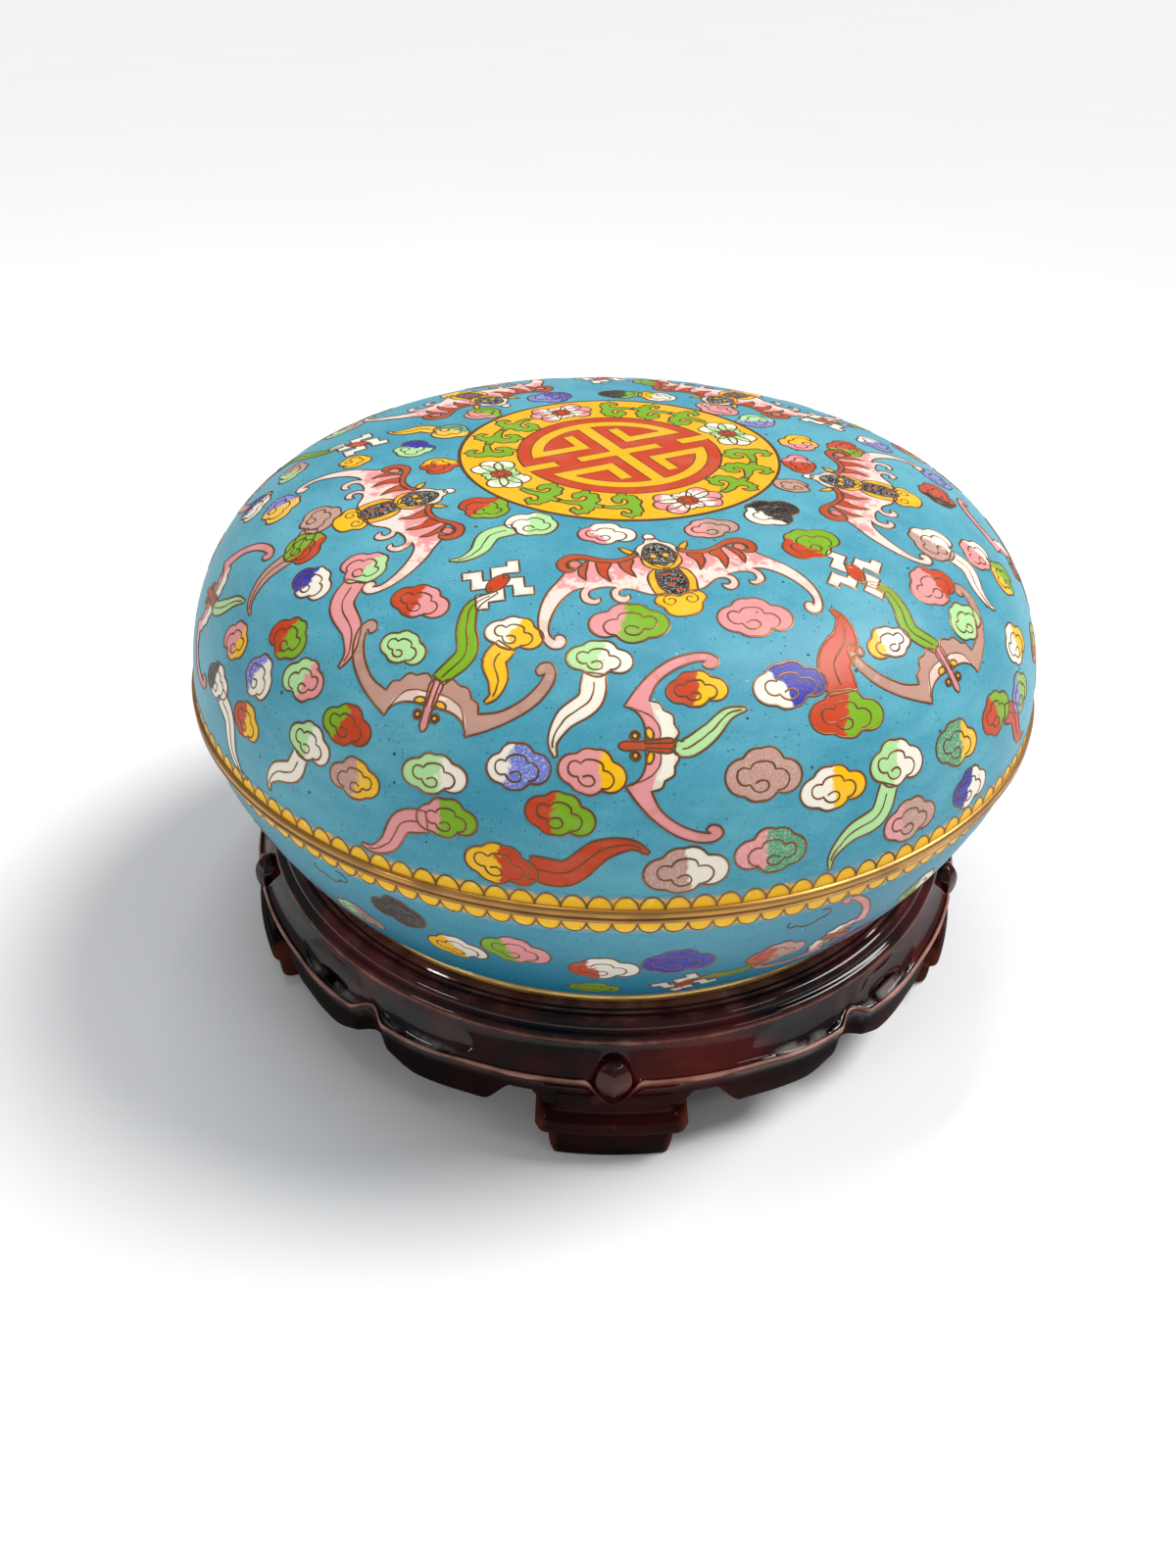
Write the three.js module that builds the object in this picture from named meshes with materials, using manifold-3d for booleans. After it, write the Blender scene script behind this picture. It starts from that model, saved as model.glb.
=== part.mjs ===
// A round cloisonne enamel box with a domed lid, on its carved hardwood stand.
// Millimetres, +Z up, origin on the floor at the centre of the stand, one foot of the stand towards -Y.
import * as THREE from "three";
import { mergeVertices } from "three/addons/utils/BufferGeometryUtils.js";
import Module from "manifold-3d";

const wasm = await Module();
wasm.setup();

// Driving dimensions
const BOX_RADIUS = 150; // outside of the metal rims
const WALL = 3; // copper body with enamel on both faces
const LID_HEIGHT = 69.8; // seam to the crown
const BASE_HEIGHT = 64.7; // foot ring's bearing face to the seam
const FOOT_RADIUS = 122; // outside of the base's foot ring
const SEAT_HEIGHT = 56; // floor to the face of the stand that the foot ring rests on
const ROUND_SEGMENTS = 48; // facets round the lid and the base
const FIT_GAP = 0.3; // clearance between pieces that rest on each other

// Lid and base
const RIM_PROUD = 1.1; // how far the metal rims stand out of the enamel
const LID_RIM_HEIGHT = 2.4;
const BASE_RIM_HEIGHT = 1.9;
const FOOT_RING_HEIGHT = 3;
const FOOT_RING_WIDTH = 4;
const FLOOR_LIFT = 4; // underside of the base's floor above the foot ring's bearing face
const COLLAR_HEIGHT = 5; // inner collar of the base that locates the lid
const COLLAR_WALL = 1.8;
const COLLAR_INSET = 1.2; // clearance between the collar and the lid's inner face
const BEARING_Z = SEAT_HEIGHT + FIT_GAP;
const SEAM_Z = SEAT_HEIGHT + BASE_HEIGHT;
const ENAMEL_RADIUS = BOX_RADIUS - RIM_PROUD;

// Stand
const FEET = 5;
const SECTOR = 360 / FEET;
const PINCH = SECTOR / 2; // the carved fold halfway between two feet
const SCOOP = 28; // middle of the hollow carved beside each fold
const ARCH = 12.2; // top of the arched cut-out beside each foot
const ARCH_RISE = 10.5;
const LIP_RADIUS = 130; // turned lip round the seat
const ROLL_RADIUS = 134; // rounded moulding under the lip
const EDGE_RADIUS = 141; // sharp outer edge of the carved table
const EDGE_Z = 38.6;
const APRON_Z = 20.5; // lower edge of the apron
const APRON_LEAN = 0.02; // how far the apron's face leans in for each millimetre down
const APRON_THICKNESS = 8;
const BUD_HALF_WIDTH = 6.6;
const BUD_HALF_HEIGHT = 9;
const BUD_PROUD = 5.5; // half of the bud's depth
const BUD_RADIUS = 142.6; // front of the bud
const BOARD_THICKNESS = 9;
const BOARD_RADIUS = 113;
const FOOT_FRONT = 141;
const FOOT_DEPTH = 16;
const NECK_HALF_WIDTH = 18.6;
const ROLL_HALF_WIDTH = 25.2;
const PAD_HALF_WIDTH = 20.8;

const degrees = THREE.MathUtils.degToRad;

// Height of the lid's enamel above the seam at radius r: a full shoulder under a nearly flat crown.
function lidHeight(r, shrink = 0) {
  const skirt = 5; // the curve's widest point lies this far below the seam
  const shoulder = 4.4;
  const crown = 2.17;
  const full = ENAMEL_RADIUS - shrink;
  const rise = Math.pow(Math.max(0, 1 - Math.pow(r / full, shoulder)), 1 / crown);
  return (LID_HEIGHT + skirt - shrink) * rise - skirt;
}

// Radius of the base's enamel at a share of its depth, 0 at the seam and 1 at the foot.
function baseRadius(share, shrink = 0) {
  const belly = Math.pow(1 - Math.pow(share, 1.53), 0.84);
  return FOOT_RADIUS - 0.6 - shrink + (ENAMEL_RADIUS - FOOT_RADIUS + 0.6) * belly;
}

// A closed solid of revolution from [radius, height] pairs.
function turned(profile) {
  const points = profile.map(([r, z]) => new THREE.Vector2(Math.max(r, 0), z));
  return new THREE.LatheGeometry(points, ROUND_SEGMENTS).rotateX(Math.PI / 2);
}

function lidGeometry() {
  const shares = [0, 0.22, 0.42, 0.6, 0.74, 0.84, 0.91, 0.955, 0.98, 0.994];
  const inside = shares.map((share) => share * (ENAMEL_RADIUS - WALL));
  const bottom = SEAM_Z + FIT_GAP;
  const rimTop = SEAM_Z + LID_RIM_HEIGHT;
  const profile = [];
  for (const share of shares) profile.push([share * ENAMEL_RADIUS, SEAM_Z + lidHeight(share * ENAMEL_RADIUS)]);
  profile.push([ENAMEL_RADIUS, rimTop]);
  profile.push([BOX_RADIUS - 0.3, rimTop]);
  profile.push([BOX_RADIUS, rimTop - 0.6]);
  profile.push([BOX_RADIUS, bottom]);
  profile.push([ENAMEL_RADIUS - WALL, bottom]);
  for (const r of inside.reverse()) profile.push([r, SEAM_Z + lidHeight(r, WALL)]);
  return turned(profile.reverse());
}

function baseGeometry() {
  const footTop = BEARING_Z + FOOT_RING_HEIGHT;
  const depth = SEAM_Z - footTop;
  const collarOuter = ENAMEL_RADIUS - WALL - COLLAR_INSET;
  const collarInner = collarOuter - COLLAR_WALL;
  const collarTop = SEAM_Z + COLLAR_HEIGHT;
  const floorZ = BEARING_Z + FLOOR_LIFT;
  const profile = [
    [0, floorZ],
    [FOOT_RADIUS - FOOT_RING_WIDTH - 3, floorZ],
    [FOOT_RADIUS - FOOT_RING_WIDTH, BEARING_Z],
    [FOOT_RADIUS, BEARING_Z],
    [FOOT_RADIUS, footTop - 0.2],
  ];
  for (const share of [1, 0.92, 0.78, 0.62, 0.46, 0.3, 0.16, 0.04])
    profile.push([baseRadius(share), SEAM_Z - share * depth]);
  profile.push([BOX_RADIUS, SEAM_Z - BASE_RIM_HEIGHT]);
  profile.push([BOX_RADIUS, SEAM_Z]);
  profile.push([collarOuter, SEAM_Z]);
  profile.push([collarOuter, collarTop]);
  profile.push([collarInner, collarTop]);
  for (const share of [0.04, 0.3, 0.55, 0.75, 0.9])
    profile.push([Math.min(baseRadius(share, WALL), collarInner), SEAM_Z - share * depth]);
  profile.push([FOOT_RADIUS - WALL - 6, floorZ + WALL]);
  profile.push([0, floorZ + WALL]);
  return turned(profile);
}

// A bump of height 1 at centre, falling smoothly to nothing over the half width.
function bump(x, centre, halfWidth) {
  const t = Math.min(1, Math.abs(x - centre) / halfWidth);
  return (1 - t * t) * (1 - t * t);
}

// Plan angles, in degrees from a foot's centre, at which the stand's section is taken.
const HALF_SECTOR_ANGLES = [0, 1.5, 2.8, 4.2, 9.4, 12.2, 14, 16, 18, 24, 29, 32.6, 34.6];

// The stand's section at an angle from the nearest foot, as a closed loop of [radius, height].
function standSection(angle) {
  const fold = bump(angle, PINCH, 3.4);
  const scoop = bump(angle, SCOOP, 8);
  const cup = bump(angle, 0, 4);
  const edge = EDGE_RADIUS - 3.2 * fold + 0.6 * scoop;
  const edgeZ = EDGE_Z + 1.6 * fold - 0.8 * scoop - 10 * cup;
  const arch = bump(angle, ARCH, angle < ARCH ? 4.2 : 5.8);
  const lower = APRON_Z + ARCH_RISE * arch + 6 * bump(angle, PINCH, 8);
  const lowerEdge = edge - 1.2 - APRON_LEAN * (edgeZ - lower);
  const under = SEAT_HEIGHT - BOARD_THICKNESS;
  return [
    [0, SEAT_HEIGHT],
    [LIP_RADIUS - 4, SEAT_HEIGHT],
    [LIP_RADIUS, SEAT_HEIGHT - 1.6],
    [ROLL_RADIUS - 1.2, SEAT_HEIGHT - 3.4],
    [ROLL_RADIUS, SEAT_HEIGHT - 5.6],
    [ROLL_RADIUS - 0.8, SEAT_HEIGHT - 7.6],
    [ROLL_RADIUS + 2.2, SEAT_HEIGHT - 10.6 - 1.2 * scoop],
    [edge - 3.6, EDGE_Z + 2.2 - 2 * scoop + 1.6 * fold - 4 * cup],
    [edge - 0.6, edgeZ + 0.6],
    [edge, edgeZ - 0.6],
    [lowerEdge, lower],
    [lowerEdge - APRON_THICKNESS, lower],
    [EDGE_RADIUS - 14, under - 4],
    [BOARD_RADIUS, under],
    [0, under],
  ];
}

// A point at radius r and height z, at an angle in degrees round the stand from -Y.
function place(r, angle, z) {
  return [r * Math.sin(degrees(angle)), -r * Math.cos(degrees(angle)), z];
}

// A geometry from loops of points that join each to the next, closed round or capped at both ends.
function lofted(loops, round) {
  const count = loops[0].length;
  const index = [];
  const last = round ? loops.length : loops.length - 1;
  for (let i = 0; i < last; i++) {
    const next = (i + 1) % loops.length;
    for (let j = 0; j < count; j++) {
      const k = (j + 1) % count;
      const [a, b, c, d] = [i * count + j, i * count + k, next * count + k, next * count + j];
      index.push(a, b, c, a, c, d);
    }
  }
  if (!round)
    for (let j = 1; j < count - 1; j++) {
      const top = last * count;
      index.push(0, j + 1, j, top, top + j, top + j + 1);
    }
  const geometry = new THREE.BufferGeometry();
  geometry.setAttribute("position", new THREE.Float32BufferAttribute(loops.flat(2), 3));
  geometry.setIndex(index);
  return geometry;
}

function tableGeometry() {
  const mirrored = HALF_SECTOR_ANGLES.slice(1).map((a) => SECTOR - a);
  const angles = [...HALF_SECTOR_ANGLES, PINCH, ...mirrored.reverse()];
  const loops = [];
  for (let foot = 0; foot < FEET; foot++)
    for (const a of angles) {
      const section = standSection(Math.min(a, SECTOR - a));
      loops.push(section.map(([r, z]) => place(r, foot * SECTOR + a, z)));
    }
  return lofted(loops, true);
}

// One foot, facing -Y: a pad on the floor, a half-round roll across it and a waisted neck.
function footGeometry() {
  const levels = [
    // height, half width, proud of the foot's front
    [0, PAD_HALF_WIDTH - 1.2, -0.8],
    [10.8, PAD_HALF_WIDTH, 0.1],
    [12, PAD_HALF_WIDTH, -0.8],
    [13.2, ROLL_HALF_WIDTH - 1.8, 1],
    [15.2, ROLL_HALF_WIDTH, 2.4],
    [19, ROLL_HALF_WIDTH, 2.6],
    [21.8, ROLL_HALF_WIDTH - 1.6, 1.1],
    [23.3, NECK_HALF_WIDTH + 2.4, -0.9],
    [24.4, NECK_HALF_WIDTH + 1.8, 0.3],
    [25.6, NECK_HALF_WIDTH + 0.6, -0.3],
    [29, NECK_HALF_WIDTH, -0.5],
    [31.6, NECK_HALF_WIDTH + 1.8, -0.9],
    [33.4, NECK_HALF_WIDTH + 5.4, -3],
  ];
  const across = [-1, -0.88, 0, 0.88, 1];
  const loops = levels.map(([z, half, proud]) => {
    const outline = across.map((share) => {
      const x = share * half;
      const radius = FOOT_FRONT + proud - (Math.abs(share) === 1 ? 2 : 0);
      return [x, -Math.sqrt(radius * radius - x * x), z];
    });
    const inner = FOOT_DEPTH - FOOT_FRONT;
    outline.push([half, inner, z], [-half, inner, z]);
    return outline;
  });
  return lofted(loops, false);
}

// The carved bud that sits in a dip of the edge over each foot, facing -Y.
function budGeometry() {
  const bud = new THREE.SphereGeometry(1, 8, 6);
  bud.scale(BUD_HALF_WIDTH, BUD_PROUD, BUD_HALF_HEIGHT);
  return bud.translate(0, BUD_PROUD - BUD_RADIUS, EDGE_Z - 1.2);
}

// manifold-3d joins the carved pieces into the one solid that the stand is; a loop's points on the
// axis merge, and the triangles that shrink to a line there are dropped.
function solid(geometry) {
  const bare = new THREE.BufferGeometry();
  bare.setAttribute("position", geometry.getAttribute("position"));
  bare.setIndex(geometry.index);
  const merged = mergeVertices(bare, 1e-4);
  const corners = merged.index.array;
  const triVerts = [];
  for (let i = 0; i < corners.length; i += 3) {
    const [a, b, c] = corners.slice(i, i + 3);
    if (a !== b && b !== c && c !== a) triVerts.push(a, b, c);
  }
  return new wasm.Manifold(
    new wasm.Mesh({
      numProp: 3,
      vertProperties: new Float32Array(merged.getAttribute("position").array),
      triVerts: new Uint32Array(triVerts),
    }),
  );
}

function geometryOf(manifold) {
  const mesh = manifold.getMesh();
  const geometry = new THREE.BufferGeometry();
  geometry.setAttribute("position", new THREE.BufferAttribute(mesh.vertProperties, 3));
  geometry.setIndex(new THREE.BufferAttribute(mesh.triVerts, 1));
  return geometry;
}

function standGeometry() {
  let stand = solid(tableGeometry());
  for (let foot = 0; foot < FEET; foot++) {
    const turn = degrees(foot * SECTOR);
    stand = stand.add(solid(footGeometry().rotateZ(turn)));
    stand = stand.add(solid(budGeometry().rotateZ(turn)));
  }
  return geometryOf(stand);
}

function finished(name, geometry, material) {
  const mesh = new THREE.Mesh(geometry, material);
  mesh.name = name;
  return mesh;
}

const enamel = { color: 0x3e9dba, roughness: 0.35, metalness: 0 };
const box = new THREE.Group();
box.add(finished("lid", lidGeometry(), new THREE.MeshStandardMaterial(enamel)));
box.add(finished("base", baseGeometry(), new THREE.MeshStandardMaterial(enamel)));
box.add(
  finished(
    "stand",
    standGeometry(),
    new THREE.MeshStandardMaterial({ color: 0x2a0d0c, roughness: 0.2, metalness: 0 }),
  ),
);

export default box;
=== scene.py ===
"""The looks of a round cloisonne enamel box with a domed lid, on its carved hardwood stand."""

import math
import random

import bmesh
import bpy
import numpy as np
from mathutils import Matrix, Vector
from mathutils.geometry import delaunay_2d_cdt


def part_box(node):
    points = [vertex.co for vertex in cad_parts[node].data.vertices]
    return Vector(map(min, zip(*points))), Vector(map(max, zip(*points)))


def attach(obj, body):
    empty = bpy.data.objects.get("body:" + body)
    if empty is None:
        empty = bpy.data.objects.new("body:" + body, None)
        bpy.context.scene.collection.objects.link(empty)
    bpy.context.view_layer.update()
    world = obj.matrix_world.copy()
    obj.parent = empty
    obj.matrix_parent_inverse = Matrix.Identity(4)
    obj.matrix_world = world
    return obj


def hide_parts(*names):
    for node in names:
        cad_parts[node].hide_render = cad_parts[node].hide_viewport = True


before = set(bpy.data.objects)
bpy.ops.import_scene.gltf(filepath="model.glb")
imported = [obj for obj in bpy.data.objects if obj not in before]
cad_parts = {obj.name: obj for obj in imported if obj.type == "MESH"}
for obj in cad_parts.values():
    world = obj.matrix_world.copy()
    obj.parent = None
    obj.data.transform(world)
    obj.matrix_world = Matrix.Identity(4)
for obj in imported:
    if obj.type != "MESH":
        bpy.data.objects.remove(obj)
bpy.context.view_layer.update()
MM = 0.001


# The studio. A plain pale floor and surround, soft daylight from the right and three low lamps, seen
# from a little left of the front and well above the box, as one looks down on a thing on a table.
CAMERA_PLACE = (-15.0, -354.8, 324.1)
CAMERA_PITCH, CAMERA_YAW, CAMERA_ROLL = 37.65, 0.93, -0.71
CAMERA_LENS = 24.95
BOX_MIDDLE = Vector((0, 0, 0.1))
FLOOR_SIZE = 40.0


def swung(a, b, angle):
    """Two directions at right angles, both turned in their own plane from a towards b."""
    return a * math.cos(angle) + b * math.sin(angle), b * math.cos(angle) - a * math.sin(angle)


def camera_axes():
    """The camera's right, up and back directions, from its pitch, yaw and roll."""
    pitch, yaw, roll = (math.radians(a) for a in (CAMERA_PITCH, CAMERA_YAW, CAMERA_ROLL))
    ahead, right = Vector((0, math.cos(pitch), -math.sin(pitch))), Vector((1, 0, 0))
    down = ahead.cross(right)
    ahead, right = swung(ahead, right, yaw)
    right, down = swung(right, down, roll)
    return right, -down, -ahead


camera = bpy.data.objects.new("camera", bpy.data.cameras.new("camera"))
bpy.context.collection.objects.link(camera)
camera.data.lens = CAMERA_LENS
camera_turn = Matrix(camera_axes()).transposed().to_4x4()
camera.matrix_world = Matrix.Translation(Vector(CAMERA_PLACE) * MM) @ camera_turn
bpy.context.scene.camera = camera
bpy.context.scene.view_settings.view_transform = "Standard"


def lamp_at(name, kind, place, power, **settings):
    """A lamp at a place in metres, facing the middle of the box."""
    lamp = bpy.data.objects.new(name, bpy.data.lights.new(name, kind))
    bpy.context.collection.objects.link(lamp)
    lamp.data.energy = power
    for key, value in settings.items():
        setattr(lamp.data, key, value)
    lamp.location = place
    lamp.rotation_euler = (BOX_MIDDLE - Vector(place)).to_track_quat("-Z", "Y").to_euler()


lamp_at("daylight", "SUN", (1.75, 0.45, 2.5), 2.6, angle=math.radians(24))
lamp_at("overhead", "AREA", (-0.1, 0.1, 1.5), 4.6, shape="RECTANGLE", size=0.8, size_y=0.04)
lamp_at("from_right", "AREA", (0.8, -0.7, 1.0), 0.8, shape="RECTANGLE", size=0.3, size_y=0.05)
lamp_at("from_left", "AREA", (-1.0, -0.8, 0.8), 1.8, shape="RECTANGLE", size=0.3, size_y=0.05)

world = bpy.data.worlds.new("surround")
bpy.context.scene.world = world
world.use_nodes = True
surround = world.node_tree.nodes["Background"].inputs
surround["Color"].default_value = (0.95, 0.97, 1.0, 1)
surround["Strength"].default_value = 0.33


class Term:
    """A number on its way through a material's nodes, so that maths on it adds Math nodes."""

    def __init__(self, finish, socket):
        self.finish = finish
        self.socket = socket

    def __add__(self, other):
        return self.finish.math("ADD", self, other)

    def __sub__(self, other):
        return self.finish.math("SUBTRACT", self, other)

    def __rsub__(self, other):
        return self.finish.math("SUBTRACT", other, self)

    def __mul__(self, other):
        return self.finish.math("MULTIPLY", self, other)

    __radd__ = __add__
    __rmul__ = __mul__


class Finish:
    """One material: node() adds any node, and shade() sets what the surface is."""

    def __init__(self, name):
        self.material = bpy.data.materials.new(name)
        self.material.use_nodes = True
        self.tree = self.material.node_tree
        self.surface = self.tree.nodes["Principled BSDF"]
        self.place = self.node("ShaderNodeTexCoord", {}, {}, "Object")

    def node(self, kind, settings, sockets, output=0):
        """A node with its settings and its sockets filled, as a Term on one of its outputs."""
        made = self.tree.nodes.new(kind)
        for key, value in settings.items():
            setattr(made, key, value)
        for key, value in sockets.items():
            self.put(made.inputs[key], value)
        return Term(self, made.outputs[output])

    def put(self, socket, value):
        """Fills a socket with a Term, a colour or a number."""
        if isinstance(value, Term):
            self.tree.links.new(value.socket, socket)
        elif isinstance(value, tuple) and len(value) == 3 and socket.type == "RGBA":
            socket.default_value = (*value, 1)
        else:
            socket.default_value = value

    def math(self, operation, a, b):
        return self.node("ShaderNodeMath", {"operation": operation}, {0: a, 1: b})

    def mix(self, share, first, second, blend="MIX"):
        """One colour into another; sockets 6 and 7 are a colour Mix node's A and B, 2 its result."""
        settings = {"data_type": "RGBA", "blend_type": blend}
        return self.node("ShaderNodeMix", settings, {0: share, 6: first, 7: second}, 2)

    def stretched(self, x, y, z):
        """Object coordinates scaled differently along each axis."""
        return self.node("ShaderNodeVectorMath", {"operation": "MULTIPLY"}, {0: self.place, 1: (x, y, z)})

    def height(self):
        """How high a place is, in metres."""
        return self.node("ShaderNodeSeparateXYZ", {}, {"Vector": self.place}, "Z")

    def noise(self, scale, detail=2.0, where=None, distortion=0.0):
        sockets = {"Vector": where or self.place, "Scale": scale, "Detail": detail, "Distortion": distortion}
        return self.node("ShaderNodeTexNoise", {}, sockets, "Fac")

    def attribute(self, name, output="Fac"):
        return self.node("ShaderNodeAttribute", {"attribute_name": name}, {}, output)

    def between(self, value, low, high):
        """0 where value is under low, 1 over high, and smooth in between."""
        sockets = {"Value": value, "From Min": low, "From Max": high}
        return self.node("ShaderNodeMapRange", {"interpolation_type": "SMOOTHSTEP"}, sockets)

    def specks(self, scale, largest, share):
        """1 on scattered round specks: share of the cells hold one, up to largest of a cell in radius."""
        cells = {"Vector": self.place, "Scale": scale}
        distance = self.node("ShaderNodeTexVoronoi", {}, cells, "Distance")
        chance = self.node("ShaderNodeTexVoronoi", {}, cells, "Color")
        chance = self.node("ShaderNodeSeparateColor", {}, {"Color": chance})
        radius = (chance - (1 - share)) * (largest / share)
        return self.between(radius - distance, 0.0, 0.03)

    def shade(self, **sockets):
        """The material, once the surface's sockets of these names are filled."""
        for key, value in sockets.items():
            self.put(self.surface.inputs[key.replace("_", " ").title().replace("Ior", "IOR")], value)
        return self.material

    def bumped(self, height, depth):
        """A normal for a relief whose height runs from 0 to 1 over this depth in metres."""
        sockets = {"Height": height, "Distance": depth, "Strength": 1.0}
        return self.node("ShaderNodeBump", {}, sockets)


def link(mesh, name):
    """The mesh as an object in the scene."""
    piece = bpy.data.objects.new(name, mesh)
    bpy.context.collection.objects.link(piece)
    return piece


def mesh_from(name, points, faces):
    """A mesh from points in millimetres."""
    mesh = bpy.data.meshes.new(name)
    mesh.from_pydata(np.asarray(points, float) * MM, [], faces)
    mesh.polygons.foreach_set("use_smooth", [True] * len(mesh.polygons))
    mesh.update()
    return mesh


half = FLOOR_SIZE / MM / 2
corners = [(-half, -half, 0), (half, -half, 0), (half, half, 0), (-half, half, 0)]
floor = link(mesh_from("floor", corners, [(0, 1, 2, 3)]), "floor")
paper = Finish("pale_paper")
pale = paper.mix(paper.noise(3), (0.93, 0.93, 0.94), (0.96, 0.96, 0.96))
floor.data.materials.append(paper.shade(base_color=pale, roughness=0.9))


# The lid and the base: two copper bodies raised round and covered with turquoise enamel inside and
# out, fired, stoned flat and polished, so that the glass is smooth but shows small pits and specks.
CROWN_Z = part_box("lid")[1][2] / MM
GAP = 0.3
SEAM_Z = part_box("lid")[0][2] / MM - GAP
BEARING_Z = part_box("base")[0][2] / MM
BOX_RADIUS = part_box("lid")[1][0] / MM
RIM_PROUD = 1.1
WALL = 3.0
FOOT_RADIUS, FOOT_RING_HEIGHT = 122.0, 3.0
BOWL_FOOT_INSET = 0.6
FLOOR_RISE = 4.0
COLLAR_PLAY, COLLAR_WALL = 1.2, 1.8
POLISHED_OFF = 0.25
ENAMEL_RADIUS = BOX_RADIUS - RIM_PROUD
# How far the lid's curve would run on below the seam, and the powers of its shoulder and crown.
SKIRT, SHOULDER, CROWN = 5.0, 4.4, 2.17
# The powers of the bowl's fall and of its fullness.
BELLY_FALL, BELLY_FULL = 1.53, 0.84
# The heights, in metres, between which the glass low on the box is painted darker towards the foot, as
# shade.
BOWL_FOOT, SHADED_TURQUOISE_TOP, SHADED_COLOURS_TOP = 0.060, 0.148, 0.122
ROUND_STEPS = 288
WALK_STEPS = 12
# The place of a drawing that is centred on the crown, with its y to the back.
CROWN_PLACE = (None, 0, 0)


def lid_profile(inset, steps=90):
    """[radius, height] from the crown down to the seam, inset from the outside of the enamel."""
    full = ENAMEL_RADIUS - inset
    drop = np.linspace(0, 1, steps) ** 0.75
    r = full * np.sin(drop * np.pi / 2) ** 0.9
    rise = np.clip(1 - (r / full) ** SHOULDER, 0, None) ** (1 / CROWN)
    z = SEAM_Z + (CROWN_Z - SEAM_Z + SKIRT - inset) * rise - SKIRT
    kept = z > SEAM_Z + 0.4
    return np.column_stack([np.append(r[kept], full), np.append(z[kept], SEAM_Z + 0.3)])


def base_profile(inset, bottom, steps=50):
    """[radius, height] from the seam down to the foot ring."""
    share = np.linspace(0, 1, steps)
    full, foot = ENAMEL_RADIUS - inset, FOOT_RADIUS - BOWL_FOOT_INSET - inset
    r = foot + (full - foot) * (1 - share**BELLY_FALL) ** BELLY_FULL
    return np.column_stack([r, SEAM_Z - share * (SEAM_Z - bottom)])


class Skin:
    """A surface of revolution, on which a place is an azimuth from the front and a distance down."""

    def __init__(self, profile):
        self.r, self.z = profile.T
        steps = np.hypot(np.diff(self.r), np.diff(self.z))
        self.s = np.concatenate([[0], np.cumsum(steps)])
        self.end = self.s[-1]
        self.slope = np.gradient(self.r, self.s)
        self.fall = np.gradient(self.z, self.s)

    def points(self, azimuth, along, lift):
        """Points in millimetres, lifted off the skin."""
        along = np.clip(along, 0, self.end)
        out, up = -np.interp(along, self.s, self.fall), np.interp(along, self.s, self.slope)
        r = np.interp(along, self.s, self.r) + lift * out
        z = np.interp(along, self.s, self.z) + lift * up
        return np.column_stack([r * np.sin(azimuth), -r * np.cos(azimuth), z])

    def wrap(self, drawn, place):
        """A drawing's points laid on the skin: its origin at place, its y towards the crown. Each point
        is reached by walking straight over the skin, so that lengths and angles stay as drawn."""
        x, y = np.asarray(drawn, float).T
        azimuth, along, turn = (*place, 0)[:3]
        c, s = math.cos(math.radians(turn)), math.sin(math.radians(turn))
        x, y = x * c - y * s, x * s + y * c
        if azimuth is None:
            return np.arctan2(x, -y), np.hypot(x, y)
        heading = np.arctan2(x, -y)
        pace = np.hypot(x, y) / WALK_STEPS
        at, round_to = np.full(len(x), float(along)), np.full(len(x), math.radians(azimuth))
        for _ in range(WALK_STEPS):
            r, slope = np.interp(at, self.s, self.r), np.interp(at, self.s, self.slope)
            half = heading - pace / 2 * slope * np.sin(heading) / r
            middle = at + pace / 2 * np.cos(heading)
            r, slope = np.interp(middle, self.s, self.r), np.interp(middle, self.s, self.slope)
            at = np.maximum(at + pace * np.cos(half), 1.0)
            round_to = round_to + pace * np.sin(half) / r
            heading = heading - pace * slope * np.sin(half) / r
        return round_to, at


def skinned(loops, around, closed=False, capped=True):
    """Faces over so many loops of points, each so many points around; closed joins the last loop to
    the first, and otherwise both ends are capped if they are to be."""
    faces = []
    for i in range(loops if closed else loops - 1):
        k = (i + 1) % loops
        for j in range(around):
            m = (j + 1) % around
            faces.append((i * around + j, k * around + j, k * around + m, i * around + m))
    if capped and not closed:
        faces.append(tuple(range(around)))
        faces.append(tuple((loops - 1) * around + j for j in reversed(range(around))))
    return faces


def turned(profile):
    """Points and faces of a surface of revolution; the profile closes on itself or ends on the axis."""
    angles = np.arange(ROUND_STEPS) * 2 * np.pi / ROUND_STEPS
    east, south = np.sin(angles), -np.cos(angles)
    rings = [np.column_stack([r * east, r * south, np.full(ROUND_STEPS, z)]) for r, z in profile]
    return np.vstack(rings), skinned(len(rings), ROUND_STEPS, capped=False)


def tidy(mesh):
    """Merges doubled points, drops what shrinks to nothing there and turns the faces outwards."""
    work = bmesh.new()
    work.from_mesh(mesh)
    bmesh.ops.remove_doubles(work, verts=work.verts, dist=1e-7)
    bmesh.ops.dissolve_degenerate(work, edges=work.edges, dist=1e-8)
    bmesh.ops.recalc_face_normals(work, faces=work.faces)
    work.to_mesh(mesh)
    work.free()
    return mesh


def sharpened(piece, least):
    """The piece with its creases of at least so many degrees kept as hard edges."""
    piece.data.set_sharp_from_angle(angle=math.radians(least))
    return piece


lid_skin = Skin(lid_profile(0) - np.array([0, POLISHED_OFF]))
base_bottom = BEARING_Z + FOOT_RING_HEIGHT
base_skin = Skin(base_profile(POLISHED_OFF, base_bottom))


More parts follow.
